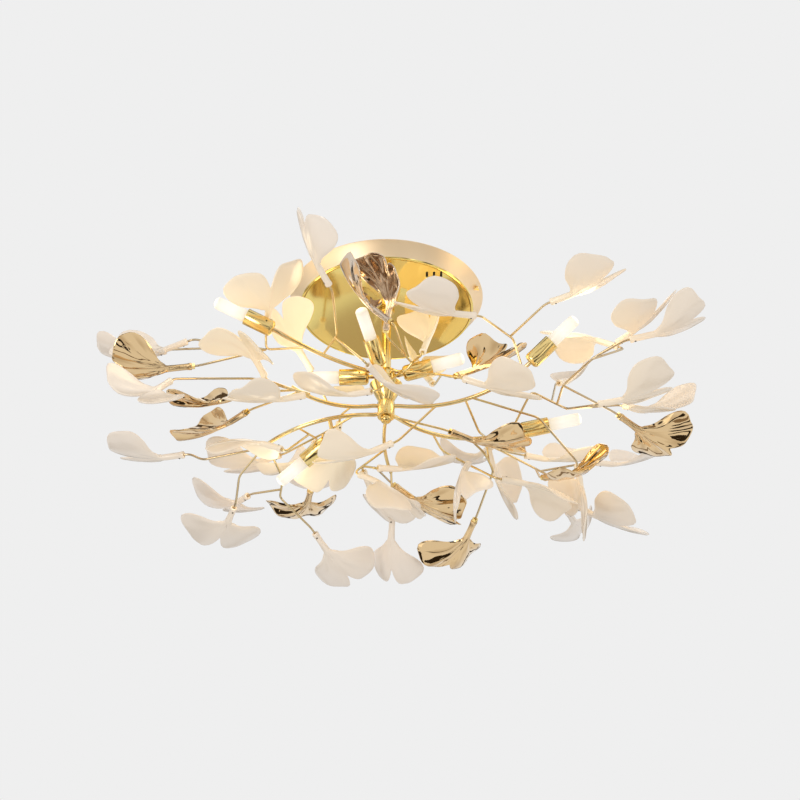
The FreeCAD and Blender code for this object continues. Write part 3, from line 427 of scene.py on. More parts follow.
def spot(place):
    reach, bearing, drop = place
    turn, radius = math.radians(bearing), SPREAD_RADIUS * reach
    return Vector((radius * math.cos(turn), radius * math.sin(turn), -HANG_DEPTH * drop))


def direction(heading, tilt):
    level = math.cos(math.radians(tilt))
    turn = math.radians(heading)
    return Vector((level * math.cos(turn), level * math.sin(turn), math.sin(math.radians(tilt))))


def nipple_knee(lamp):
    out = direction(lamp.heading, 0) * (RING_RADIUS + SEAT_GAP + NIPPLE_BEND)
    return out - Vector((0, 0, RING_LEVEL))


def lamp_base(number):
    lamp = LAMPS[number]
    if lamp.base is not None:
        return spot(lamp.base)
    return nipple_knee(lamp) + direction(lamp.heading, lamp.tilt) * NIPPLE_LENGTH


def axis_frame(point, along):
    """Matrix that puts local Z along a direction."""
    return Matrix.Translation(point) @ along.to_track_quat("Z", "Y").to_matrix().to_4x4()


def lamp_frame(number):
    lamp = LAMPS[number]
    return axis_frame(lamp_base(number), direction(lamp.heading, lamp.tilt))


def leaf_frame(leaf):
    """Leaf frame: X along the neck, Z on the domed side, which faces down at no roll."""
    along = direction(leaf.heading, leaf.tilt)
    down = Vector((0, 0, -1))
    domed = (down - along * down.dot(along)).normalized()
    turn = Matrix((along, domed.cross(along), domed)).transposed().to_4x4()
    roll = Matrix.Rotation(math.radians(leaf.roll), 4, "X")
    return Matrix.Translation(spot(leaf.neck)) @ turn @ roll


# Mesh helpers: a form is a pair of vertices and faces

def placed(form, matrix):
    verts, faces = form
    turn = np.array(matrix.to_3x3())
    return np.asarray(verts, float) @ turn.T + np.array(matrix.translation), faces


def joined(forms):
    verts, faces, count = [], [], 0
    for points, loops in forms:
        verts.append(np.asarray(points, float))
        faces += [tuple(i + count for i in loop) for loop in loops]
        count += len(points)
    return np.concatenate(verts), faces


def on_lamps(form, place=Matrix()):
    """The same form at each of the seven lamps."""
    return joined([placed(form, lamp_frame(number) @ place) for number in LAMPS])


def ring_faces(rings, count):
    """Quads between closed rings of as many points."""
    faces = []
    for start in range(0, (rings - 1) * count, count):
        for i in range(count):
            j = (i + 1) % count
            faces.append((start + i, start + j, start + count + j, start + count + i))
    return faces


def ends(rings, count):
    """Flat faces over the first and the last ring."""
    last = (rings - 1) * count
    return [tuple(range(count))[::-1], tuple(range(last, last + count))]


def turned(outline, sides=96):
    """Closed (radius, height) outline turned about Z."""
    angles = np.linspace(0, 2 * math.pi, sides, endpoint=False)
    rows = [np.stack([radius * np.cos(angles), radius * np.sin(angles),
                      np.full(sides, height)], axis=1) for radius, height in outline]
    count = len(outline)
    faces = []
    for row in range(count):
        after = (row + 1) % count
        if outline[row][0] == 0 and outline[after][0] == 0:
            continue
        a, b = row * sides, after * sides
        for i in range(sides):
            j = (i + 1) % sides
            faces.append((a + i, a + j, b + j, b + i))
    return np.concatenate(rows), faces


def polygon(corners, half_width, half_height, height=0.0, start=0.0):
    """Flat face; with many corners it is round, and a negative half height turns it over."""
    turns = [2 * math.pi * (corner + start) / corners for corner in range(corners)]
    rim = [(half_width * math.cos(turn), half_height * math.sin(turn), height) for turn in turns]
    return rim, [tuple(range(corners))]


def softened(points, reach, steps=5):
    """Run of points whose corners are rounded."""
    run = [points[0]]
    for before, corner, after in zip(points, points[1:], points[2:]):
        size = min(reach, (corner - before).length * 0.45, (after - corner).length * 0.45)
        start = corner + (before - corner).normalized() * size
        end = corner + (after - corner).normalized() * size
        for step in range(steps + 1):
            t = step / steps
            run.append(start * (1 - t) ** 2 + corner * 2 * t * (1 - t) + end * t ** 2)
    return run + [points[-1]]


def tube(points, radius, sides):
    """Round rod along a run of points."""
    normal = None
    rows = []
    for i, point in enumerate(points):
        before, after = points[max(i - 1, 0)], points[min(i + 1, len(points) - 1)]
        along = (after - before).normalized()
        if normal is None:
            normal = along.orthogonal().normalized()
        normal = (normal - along * normal.dot(along)).normalized()
        other = along.cross(normal)
        for k in range(sides):
            angle = 2 * math.pi * k / sides
            rows.append(point + (normal * math.cos(angle) + other * math.sin(angle)) * radius)
    return rows, ring_faces(len(points), sides) + ends(len(points), sides)


def new_object(name, form, material=None):
    verts, faces = form
    mesh = bpy.data.meshes.new(name)
    mesh.from_pydata([tuple(v) for v in verts], [], faces)
    if material:
        mesh.materials.append(material)
    made = bpy.data.objects.new(name, mesh)
    bpy.context.scene.collection.objects.link(made)
    return made


def add_piece(name, form, material, nodes, body="fixture", sharp=38, uv=None):
    """Makes a piece of the light: it rides on its body and stands for its CAD nodes."""
    piece = new_object(name, form, material)
    mesh = piece.data
    if uv is not None:
        layer = mesh.uv_layers.new(name=UV_LAYER)
        loops = np.zeros(len(mesh.loops), int)
        mesh.loops.foreach_get("vertex_index", loops)
        layer.data.foreach_set("uv", np.asarray(uv)[loops].astype(np.float32).ravel())
    mesh.polygons.foreach_set("use_smooth", [True] * len(mesh.polygons))
    mesh.set_sharp_from_angle(angle=math.radians(sharp))
    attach(piece, body)
    if nodes:
        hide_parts(*nodes)
    return piece


def add_gilt(name, form, node, material=None, sharp=38):
    """Makes a plated piece that stands for one CAD node."""
    return add_piece(name, form, material or gilt_finish(), [node], sharp=sharp)


def dress_node(name, material, bevel=0.0002):
    """A CAD node that stays: softened edges and its finish."""
    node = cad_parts[name]
    node.data.materials.clear()
    node.data.materials.append(material)
    edge = node.modifiers.new("softened edges", "BEVEL")
    edge.width = bevel
    edge.segments = 2
    edge.limit_method = "ANGLE"
    edge.angle_limit = math.radians(40)
    edge.harden_normals = True


# Finishes

def toned(tint, *shares):
    return [part * share for part, share in zip(tint, shares)]


def gold_plate(name, tint, roughness, outer_shade=None):
    """Polished gold plate with faint clouding and scratches; further from the middle it can take a
    browner painted shade.
    """
    if name in bpy.data.materials:
        return bpy.data.materials[name]
    g = Graph(name)
    cloud = g.noise(22.0, 3.0)
    fine = g.noise(240.0)
    plate = g.mix(g.step(cloud, 0.35, 0.65), tint, toned(tint, 0.86, 0.78, 0.68))
    if outer_shade:
        # Painted shade: the plate turns browner from 12 to 25 cm out from the middle
        level = g.vector_maths("MULTIPLY", g.position(), (1, 1, 0))
        reach = g.vector_maths("LENGTH", level, outputs=1)
        plate = g.mix(((reach - 0.12) * 8.0).clamped(), plate, outer_shade)
    return g.finish(
        Base_Color=plate,
        Metallic=1.0,
        Roughness=roughness + 0.10 * cloud + 0.04 * fine,
        Normal=g.bump(fine, 0.06, 0.0004),
    )


def gilt_finish():
    return gold_plate("gilt", colours().gold, 0.11)


def branch_finish():
    # Arm gilt that turns to a browner painted shade further out
    return gold_plate("branch gilt", colours().branch, 0.09, colours().twig_shade)


CANOPY_HEIGHT, CANOPY_EDGE = 0.020, 0.0015
SEAM_RADIUS, SEAM_MOUTH, SEAM_FLOOR, SEAM_DEPTH = 0.1091, 0.0008, 0.0004, 0.0009


def canopy_finish():
    """Mirror gold face, slightly wavy as spun sheet is, a satin wall and painted shade in the seam
    groove.
    """
    g = Graph("canopy gilt")
    wave = g.noise(7.0, 1.0)
    fine = g.noise(180.0, 3.0)
    x, y, height = g.split(g.position())
    wall = ((height + (CANOPY_HEIGHT - CANOPY_EDGE)) * 1500.0).clamped()
    level = g.node("ShaderNodeCombineXYZ", X=x, Y=y)
    radius = g.vector_maths("LENGTH", level, outputs=1)
    # Painted shade: a thin dark brown ring along the seam groove
    seam_shade = 1.0 - ((radius - SEAM_RADIUS).maths("ABSOLUTE") * 1600.0).clamped()
    tint = colours().canopy_face
    face = g.mix(wave, tint, toned(tint, 1.0, 1.06, 1.30))
    return g.finish(
        Base_Color=g.mix(seam_shade, g.mix(wall, face, colours().canopy_wall), (0.20, 0.13, 0.06)),
        Metallic=1.0,
        Roughness=0.05 + 0.03 * wave + 0.02 * fine + 0.40 * wall,
        Normal=g.bump(wave, 0.10, 0.004),
    )


FILAMENT_REACH, LAMPLIGHT_REACH = 0.055, 0.095


def lamp_glow(g, fall):
    """Share of lamp light at a point, from its distances to the seven lamps."""
    place = g.position()
    total = 0.0
    for number in LAMPS:
        centre = lamp_frame(number) @ Vector((0, 0, FILAMENT_REACH))
        gap = g.vector_maths("DISTANCE", place, tuple(centre), outputs=1)
        total = total + 1.0 / (1.0 + (gap / fall) ** 4.0)
    return total.clamped()


def white_leaf_finish():
    """Cast warm white resin with soft folds, with a painted glow all over and painted lamp light
    where a lamp is near: a stronger glow and a creamier colour.
    """
    g = Graph("white leaf")
    cloud = g.noise(16.0, 3.0)
    across, along = g.sheet_shares()
    fan = g.node("ShaderNodeCombineXYZ", X=across * 2.4 + cloud * 0.6, Y=along * 1.2)
    tint = colours().white_leaf
    plain = g.mix(cloud, tint, toned(tint, 1.0, 0.94, 0.86))
    # Painted lamp light: the creamier colour near the lamps
    lamplit_cream = toned(tint, 1.01, 0.940, 0.83)
    return g.finish(
        Base_Color=g.mix(lamp_glow(g, 0.13), plain, lamplit_cream),
        Roughness=0.20 + 0.10 * cloud,
        # Painted glow: a faint warm glow all over, and painted light through the leaf near the
        # lamps
        Emission_Color=g.mix(lamp_glow(g, 0.078), (0.14, 0.115, 0.095), colours().glow),
        Emission_Strength=0.17,
        Coat_Weight=0.35,
        Coat_Roughness=0.12,
        Normal=g.bump(g.noise(1.0, 1.0, fan), 0.25, 0.005),
    )


def gold_leaf_finish(name, tint):
    """Plated leaves: rippled, with painted shade in the folds."""
    g = Graph(name)
    across, along = g.sheet_shares()
    cloud = g.noise(30.0)
    fan = g.node("ShaderNodeCombineXYZ", X=across * 4.0 + cloud * 0.8, Y=along * 1.6)
    ripple = g.noise(1.0, 1.0, fan)
    return g.finish(
        # Painted shade: a darker gold where the ripple is low, in the folds
        Base_Color=g.mix(g.step(ripple, 0.25, 0.50), toned(tint, 0.66, 0.60, 0.52), tint),
        Metallic=1.0,
        Roughness=0.03 + 0.04 * cloud,
        Normal=g.bump(ripple, 0.30, 0.010),
    )


def glass_finish():
    """Frosted capsule, lit from inside: bright round its filament, dimmer at base and tip."""
    g = Graph("frosted glass")
    cloud = g.noise(60.0)
    height = g.sheet_shares()[1]
    light = g.ramp(height, (0.0, (0.42, 0.30, 0.16)), (0.22, (0.80, 0.70, 0.52)),
                   (0.50, colours().glass), (0.80, (0.90, 0.84, 0.72)), (1.0, (0.50, 0.45, 0.38)))
    return g.finish(
        Base_Color=(0.55, 0.54, 0.52),
        Roughness=0.30 + 0.10 * cloud,
        Emission_Color=g.mix(cloud * 0.3, light, (0.95, 0.80, 0.58)),
        Emission_Strength=0.62,
        Coat_Weight=0.3,
    )


def plain_finish(name, colour, metallic, roughness):
    g = Graph(name)
    cloud = g.noise(120.0, 3.0)
    return g.finish(
        Base_Color=g.mix(cloud, colour, toned(colour, 0.82, 0.82, 0.82)),
        Metallic=metallic,
        Roughness=roughness + 0.15 * cloud,
        Normal=g.bump(cloud, 0.1, 0.0005),
    )


# Canopy

VENT_LENGTH, VENT_WIDTH, VENT_PITCH = 0.013, 0.003, 0.009


def vent_cutter(height=0.006, steps=8):
    """Slot cutter with half-round ends."""
    radius, reach = VENT_WIDTH / 2, (VENT_LENGTH - VENT_WIDTH) / 2
    rim = []
    for end, start in ((1, 0.0), (-1, math.pi)):
        for step in range(steps + 1):
            angle = start + math.pi * step / steps
            rim.append((radius * math.cos(angle), end * reach + radius * math.sin(angle)))
    verts = [(x, y, z) for z in (-height / 2, height / 2) for x, y in rim]
    return verts, ring_faces(2, len(rim)) + ends(2, len(rim))


def cut_piece(piece, form):
    """Cuts a form out of a piece and keeps the result as its mesh."""
    cutter = new_object("cutter", form)
    step = piece.modifiers.new("cut", "BOOLEAN")
    step.operation = "DIFFERENCE"
    step.object = cutter
    graph = bpy.context.evaluated_depsgraph_get()
    result = bpy.data.meshes.new_from_object(piece.evaluated_get(graph))
    piece.modifiers.clear()
    piece.data = result
    bpy.data.objects.remove(cutter)


class LEAFLIGHT_OT_canopy(bpy.types.Operator):
    """Spun canopy with a seamed face, a sloping wall and three vent slots"""

    bl_idname = "leaf_light.canopy"
    bl_label = "Canopy"

    def execute(self, context):
        rim, face, sheet, bore, flat = 0.125, 0.1125, 0.0012, 0.0064, 0.104
        foot = -CANOPY_HEIGHT
        seam_top = foot + SEAM_DEPTH
        outline = [
            (bore, foot), (flat, foot), (SEAM_RADIUS - SEAM_MOUTH, foot),
            (SEAM_RADIUS - SEAM_FLOOR, seam_top), (SEAM_RADIUS + SEAM_FLOOR, seam_top),
            (SEAM_RADIUS + SEAM_MOUTH, foot), (face - 0.0022, foot),
            (face - 0.0010, foot + 0.00035), (face - 0.0003, foot + 0.0009),
            (face, foot + 0.0017), (rim - 0.0006, -0.0009), (rim, -0.0004), (rim, 0.0),
            (rim - sheet, 0.0), (face - sheet, foot + 0.0017),
            (face - sheet - 0.0012, foot + sheet), (bore, foot + sheet),
        ]
        piece = add_gilt("canopy", turned(outline, 192), "canopy_pan", canopy_finish(), 50)
        vent = vent_cutter()
        x, y = face * VENT_X_SHARE, -face * VENT_Y_SHARE - VENT_SHIFT
        cut_piece(piece, joined([
            placed(vent, Matrix.Translation((x + number * VENT_PITCH, y, foot)))
            for number in (-1, 0, 1)]))
        return {"FINISHED"}


class LEAFLIGHT_OT_mounting(bpy.types.Operator):
    """Bar, side screws and wiring block behind the canopy"""

    bl_idname = "leaf_light.mounting"
    bl_label = "Mounting"

    def execute(self, context):
        steel = plain_finish("zinc steel", (0.62, 0.63, 0.64), 1.0, 0.32)
        plastic = plain_finish("terminal plastic", (0.80, 0.79, 0.75), 0.0, 0.45)
        dress_node("mounting_bar", steel)
        dress_node("canopy_screws", gilt_finish())
        dress_node("terminal_block", plastic)
        dress_node("hub_nipple", steel)
        return {"FINISHED"}


# Stem and hub

STEM_RADIUS, STEM_BORE, STEM_FOOT, STEM_TOP = 0.006, 0.0045, -0.164, -0.011
STEM_HOLE, NIPPLE_HOLE = 0.0063, 0.0043


class LEAFLIGHT_OT_stem(bpy.types.Operator):
    """Stem tube and its lock nuts"""

    bl_idname = "leaf_light.stem"
    bl_label = "Stem"

    def execute(self, context):
        edge = 0.0003
        outline = [
            (STEM_BORE, STEM_FOOT), (STEM_RADIUS - edge, STEM_FOOT),
            (STEM_RADIUS, STEM_FOOT + edge), (STEM_RADIUS, STEM_TOP - edge),
            (STEM_RADIUS - edge, STEM_TOP), (STEM_BORE, STEM_TOP),
        ]
        add_gilt("stem", turned(outline, 48), "stem_tube")
        dress_node("stem_nuts", gilt_finish(), 0.0004)
        return {"FINISHED"}


def barrel(radius, hole, top, foot, edge=0.0008):
    """Turned block with rounded edges and a bore."""
    inset = edge * 0.3
    return turned([
        (hole, foot), (radius - edge, foot), (radius - inset, foot + inset),
        (radius, foot + edge), (radius, top - edge), (radius - inset, top - inset),
        (radius - edge, top), (hole, top)], 64)


class LEAFLIGHT_OT_hub(bpy.types.Operator):
    """Lamp ring, cone, core and finial"""

    bl_idname = "leaf_light.hub"
    bl_label = "Hub"

    def execute(self, context):
        add_gilt("lamp_collar", barrel(RING_RADIUS, STEM_HOLE, -0.117, -0.131), "lamp_ring")
        cone = [(radius, STEM_FOOT + rise) for radius, rise in (
            (STEM_HOLE, 0.0), (0.0084, 0.0), (0.0090, 0.0006), (0.0130, 0.0085),
            (0.0208, 0.0253), (0.0210, 0.0260), (0.0200, 0.0260), (0.0121, 0.0088),
            (0.0080, 0.0010), (STEM_HOLE, 0.0010))]
        add_gilt("cone", turned(cone, 72), "hub_cone", sharp=45)
        core_foot = -CORE_TOP - CORE_HEIGHT
        add_gilt("core", barrel(CORE_RADIUS, NIPPLE_HOLE, -CORE_TOP, core_foot), "hub_core")
        top = core_foot - SEAT_GAP
        finial = [(radius, top - drop) for radius, drop in (
            (0.0, 0.0080), (0.0025, 0.0079), (0.0045, 0.0071), (0.0060, 0.0057),
            (0.0068, 0.0040), (0.0070, 0.0024), (0.0070, 0.0004), (0.0066, 0.0),
            (NIPPLE_HOLE, 0.0), (NIPPLE_HOLE, 0.0046), (0.0, 0.0046))]
        add_gilt("finial", turned(finial, 48), "hub_finial")
        return {"FINISHED"}


# Branches

ARM_SIDES, TWIG_SIDES, PIN_SIDES = 20, 12, 10
FORK_CORNER, TWIG_CORNER, PIPE_CORNER = 0.006, 0.007, 0.002


def bow(start, middle, end, steps=16):
    """Points of the arc that passes from start through middle to end."""
    a, b = middle - start, end - start
    normal = a.cross(b)
    centre = start + (normal.cross(a) * b.length_squared + b.cross(normal) * a.length_squared) / (
        2 * normal.length_squared)
    first, last = start - centre, end - centre
    side = normal.cross(first).normalized() * first.length
    angle = math.atan2(last.dot(side), last.dot(first)) % (2 * math.pi)
    turns = [angle * step / steps for step in range(steps + 1)]
    return [centre + first * math.cos(turn) + side * math.sin(turn) for turn in turns]


def lamp_end(number):
    """Direction of a lamp, its base and the end of the arm that carries it."""
    along = direction(LAMPS[number].heading, LAMPS[number].tilt)
    base = lamp_base(number)
    return along, base, base + along * (CUP_FLOOR + SEAT_GAP)


def arm_run(arm):
    """Run of an arm, from its socket in the hub to its end."""
    radius, depth = HUB_SOCKETS[arm.level]
    out, drop = direction(arm.bearing, 0), Vector((0, 0, -depth))
    first = out * (radius - SOCKET_DEPTH + SEAT_GAP) + drop
    second = out * (radius + RUN_OUT) + drop
    if arm.lamp is None:
        return [first] + bow(second, spot(arm.mid), spot(arm.end))
    along, base, end = lamp_end(arm.lamp)
    return [first] + bow(second, spot(arm.mid), base - along * RUN_OUT) + [end]


def nearest_on(axes, point):
    """Point of the given runs that lies nearest to a point."""
    found = []
    for run in axes:
        for start, end in zip(run, run[1:]):
            along = end - start
            share = (point - start).dot(along) / along.length_squared
            found.append(start + along * max(0.0, min(1.0, share)))
    return min(found, key=lambda place: (place - point).length)


def lamp_fork(axes, number):
    """Run of the fork that leaves an arm and carries one more lamp."""
    along, base, end = lamp_end(number)
    knee = base - along * RUN_OUT * 2
    return [nearest_on(axes, knee), knee, end]


def leaf_run(leaf, axes):
    neck = spot(leaf.neck)
    along = direction(leaf.heading, leaf.tilt)
    places = [spot(place) for place in leaf.route]
    start = nearest_on(axes, places[0])
    return [start] + places[1:] + [neck - along * TWIG_BEND, neck + along * TWIG_GRIP]


def branch_form(name, arm):
    radius = (sizes().slim_arm_dia if arm.stock == "slim" else sizes().arm_dia) / 2
    run = arm_run(arm)
    forms, axes = [tube(run, radius, ARM_SIDES)], [run]
    if name == "south_west":
        fork = lamp_fork(axes, "7")
        forms.append(tube(softened(fork, FORK_CORNER), sizes().arm_dia / 2, ARM_SIDES))
        axes.append(fork)
    for leaf in (leaf for leaves in LEAVES.values() for leaf in leaves if leaf.branch == name):
        run = leaf_run(leaf, axes)
        forms.append(tube(softened(run, TWIG_CORNER), sizes().twig_dia / 2, TWIG_SIDES))
        axes.append(run[:-1])
    return joined(forms)


class LEAFLIGHT_OT_branches(bpy.types.Operator):
    """Arms with their brazed twigs, and the pipes of the centre lamps"""

    bl_idname = "leaf_light.branches"
    bl_label = "Branches"

    def execute(self, context):
        gilt = branch_finish()
        for name, arm in ARMS.items():
            add_gilt("branch." + name, branch_form(name, arm), "branch_" + name, gilt, 50)
        pipes = []
        for number, lamp in LAMPS.items():
            if lamp.base is None:
                knee = nipple_knee(lamp)
                start = knee - direction(lamp.heading, 0) * NIPPLE_BEND
                end = lamp_base(number) + direction(lamp.heading, lamp.tilt) * CUP_FLOOR
                run = softened([start, knee, end], PIPE_CORNER)
                pipes.append(tube(run, sizes().arm_dia / 2, ARM_SIDES))
        add_gilt("lamp_pipes", joined(pipes), "lamp_nipples", gilt)
        return {"FINISHED"}


# Leaves

LeafForm = namedtuple(
    "LeafForm", "fan knee side notch notch_width dome bend ripple ripples scallop")
LEAF_FORMS = {
    "open": LeafForm(62, 40, 0.52, 0.40, 0.090, 0.40, 0.28, 0.018, 2.0, 0.022),
    "cupped": LeafForm(46, 30, 0.60, 0.26, 0.080, 0.60, 0.34, 0.016, 1.8, 0.018),
    "folded": LeafForm(37, 26, 0.62, 0.28, 0.080, 0.95, 0.34, 0.014, 1.6, 0.014),
    "rippled": LeafForm(50, 34, 0.58, 0.20, 0.100, 0.54, 0.32, 0.050, 2.4, 0.014),
}
HALF_SHARES = [0.0, 0.02, 0.045, 0.075, 0.11, 0.155, *np.linspace(0.20, 0.90, 10),
               0.945, 0.972, 0.989, 1.0]
ACROSS = np.array([-share for share in HALF_SHARES[:0:-1]] + HALF_SHARES)
ALONG = np.concatenate([np.linspace(0.07, 0.93, 22), (0.955, 0.975, 0.990, 0.998, 1.0)])
SIDE_START, LIP_START = 0.93, 0.955
SEEDS_PER_NODE = 10


def smooth(value):
    value = np.clip(value, 0.0, 1.0)
    return value * value * (3 - 2 * value)


def rounded(share):
    """Height of a quarter circle: 1 at share 0, 0 at share 1."""
    return np.sqrt(np.clip(1 - np.clip(share, 0, 1) ** 2, 0, 1))


def blade_edge(form, s, phase):
    """Reach of a blade's outline across its fan, with its notch and scallops."""
    edge = form.side + (1 - form.side) * np.sqrt(np.clip(1 - np.abs(s) ** 3.2, 0, 1))
    edge = edge - form.notch * np.exp(-(np.abs(s) / form.notch_width) ** 1.5)
    edge = edge + form.scallop * np.cos(s * 2 * math.pi * form.ripples + phase)
    return np.minimum(edge, 1.0)


def leaf_form(name, seed):
    """Cast leaf: neck with a rolled mouth that opens into a notched, domed fan."""
    form = LEAF_FORMS[name]
    chance = random.Random(seed)
    phase = [chance.uniform(0, 2 * math.pi) for _ in range(5)]
    swell = [chance.uniform(0.85, 1.15) for _ in range(4)]
    s = ACROSS
    width = len(s)
    full, half_width = sizes().leaf_reach, sizes().leaf_half_width
    neck, radius = sizes().neck_length, sizes().neck_dia / 2
    root = neck * 0.84
    edge = blade_edge(form, s, phase[0])
    side_round = rounded((np.abs(s) - SIDE_START) / (1 - SIDE_START))
    tube_round = rounded(np.abs(s))
    rings, marks = [], []

    def add(x, y, z, thick, t):
        """Adds a ring: over the blade and back under it."""
        upper, lower = (np.stack([x, y, z + side * thick], axis=1) for side in (1, -1))
        rings.append(np.concatenate([upper, lower[::-1][1:-1]]))
        marks.extend((share, t) for share in (*s, *s[::-1][1:-1]))

    neck_rows = (
        (0.0080, 0.0018), (0.0006, 0.0018), (0.0001, 0.0024), (0.0, radius * 0.80),
        (0.0003, radius * 0.97), (0.0012, radius * 1.04), (0.0035, radius * 1.04),
        (0.0048, radius * 0.96), (neck * 0.45, radius * 0.92), (neck * 0.72, radius * 0.92))
    for x, r in neck_rows:
        add(np.full(width, x), s * r, np.zeros(width), tube_round * r, 0.0)

    waves = s * 2 * math.pi * form.ripples
    for t in ALONG:
        spread = smooth((t - 0.02) / 0.34)
        turn = np.radians(s * (form.knee + (form.fan - form.knee) * smooth((t - 0.25) / 0.75)))
        x_blade = root + full * edge * t * np.cos(turn)
        y_blade = full * edge * t * np.sin(turn)
        run = (x_blade - neck) / full
        drop = form.dome * (y_blade / half_width) ** 2 + form.bend * run * np.abs(run)
        wave = form.ripple * t ** 1.6 * (
            swell[0] * np.cos(waves * 0.5 + phase[1])
            + 0.6 * swell[1] * np.cos(waves + phase[2] + t * 2))
        if name == "rippled":
            wave = wave + 0.024 * t ** 1.2 * (1.25 - t) * (
                swell[2] * np.cos(s * 10 + phase[3] + t * 3)
                + 0.30 * swell[3] * np.cos(s * 20 + phase[4] - t * 4))
        sheet = sizes().leaf_sheet / 2 * (1 - 0.28 * t)
        lip = rounded((t - LIP_START) / (1 - LIP_START))
        x_tube = root + full * t * 0.9
        y_tube = s * radius * (1 + t)
        thick = tube_round * radius * 0.92 * (1 - spread) + sheet * side_round * lip * spread
        add(x_tube + (x_blade - x_tube) * spread, y_tube + (y_blade - y_tube) * spread,
            half_width * (wave - drop) * spread, thick, t)

    count = len(rings[0])
    last = (len(rings) - 1) * count
    under = [last + (count - i) % count for i in range(width - 1)] + [last + width - 1]
    faces = ring_faces(len(rings), count)
    for i in range(width - 1):
        corners = (last + i, last + i + 1, under[i + 1], under[i])
        faces.append(tuple(dict.fromkeys(corners)))
    faces.append(tuple(range(count))[::-1])
    return (np.concatenate(rings), faces), marks


def make_leaves(kind, finish_of):
    """One piece for each node of a kind, with its leaves."""
    for group, (node, leaves) in enumerate(LEAVES.items()):
        if not node.startswith(kind):
            continue
        forms, marks = [], []
        for number, leaf in enumerate(leaves):
            form, uv = leaf_form(leaf.form, group * SEEDS_PER_NODE + number)
            forms.append(placed(form, leaf_frame(leaf)))
            marks += uv
        name = node.replace("leaves", "blades").replace("leaf", "blade")
        add_piece(name, joined(forms), finish_of(node), [node], sharp=70, uv=marks)


class LEAFLIGHT_OT_white_leaves(bpy.types.Operator):
    """Cast white leaves"""

    bl_idname = "leaf_light.white_leaves"
    bl_label = "White leaves"

    def execute(self, context):
        finish = white_leaf_finish()
        make_leaves("white", lambda node: finish)
        return {"FINISHED"}


class LEAFLIGHT_OT_gold_leaves(bpy.types.Operator):
    """Plated leaves and the nuts that lock them"""

    bl_idname = "leaf_light.gold_leaves"
    bl_label = "Gold leaves"

    def execute(self, context):
        bright = gold_leaf_finish("gold leaf", colours().leaf_gold)
        smoked = gold_leaf_finish("smoked gold leaf", colours().smoked_gold)
        make_leaves("gold",
                    lambda node: smoked if node == "gold_leaves_near" else bright)
        dress_node("leaf_nuts", gilt_finish(), 0.0003)
        return {"FINISHED"}


# Lamps

class LEAFLIGHT_OT_lamp_cups(bpy.types.Operator):
    """Slim cups with a rounded floor and a rolled mouth"""

    bl_idname = "leaf_light.lamp_cups"
    bl_label = "Lamp cups"

    def execute(self, context):
        radius = sizes().cup_dia / 2
        wall, length, hole, shoulder, steps = 0.0012, 0.038, 0.0035, 0.0055, 8
        outline = [(hole, 0.0)]
        for step in range(steps + 1):
            angle = math.pi / 2 * step / steps
            outline.append((radius * (0.45 + 0.55 * math.sin(angle)),
                            shoulder * (1 - math.cos(angle))))
        outline += [(radius, length - 0.0004), (radius - 0.0003, length),
                    (radius - wall + 0.0003, length), (radius - wall, length - 0.0004),
                    (radius - wall, 0.0052), (hole, 0.0050)]
        add_gilt("cups", on_lamps(turned(outline, 56)), "lamp_cups", sharp=45)
        return {"FINISHED"}


class LEAFLIGHT_OT_grub_screws(bpy.types.Operator):
    """Small dark screws that lock the white leaves' necks and the lamp cups"""

    bl_idname = "leaf_light.grub_screws"
    bl_label = "Grub screws"

    def execute(self, context):
        radius = 0.0011
        screw = turned([
            (0.0, 0.0002), (radius * 0.5, 0.0002), (radius * 0.5, 0.0006), (radius * 0.9, 0.0006),
            (radius, 0.0004), (radius, -0.0008), (0.0, -0.0008)], 12)
        neck = Matrix.Translation((0.0065, 0, sizes().neck_dia / 2 * 0.92))
        forms = [placed(screw, leaf_frame(leaf) @ neck) for node, leaves in LEAVES.items()
                 if node.startswith("white") for leaf in leaves]
        cup = (Matrix.Translation((sizes().cup_dia / 2 - 0.0001, 0, 0.012))
               @ Matrix.Rotation(math.pi / 2, 4, "Y"))
        finish = plain_finish("blackened steel", (0.10, 0.075, 0.05), 1.0, 0.35)
        add_piece("grub_screws", joined([*forms, on_lamps(screw, cup)]), finish, [])
        return {"FINISHED"}


class LEAFLIGHT_OT_lamp_sockets(bpy.types.Operator):
    """Ceramic two-pin sockets in the cups"""

    bl_idname = "leaf_light.lamp_sockets"
    bl_label = "Lamp sockets"

    def execute(self, context):
        radius = sizes().cup_dia / 2 - 0.0015
        form = turned([(0.0, 0.012), (radius - 0.0006, 0.012), (radius, 0.0126),
                       (radius, 0.0292), (radius - 0.0008, 0.0300), (0.0, 0.0300)], 40)
        ceramic = plain_finish("ceramic", (0.84, 0.82, 0.77), 0.0, 0.55)
        add_piece("sockets", on_lamps(form), ceramic, ["lamp_sockets"])
        return {"FINISHED"}


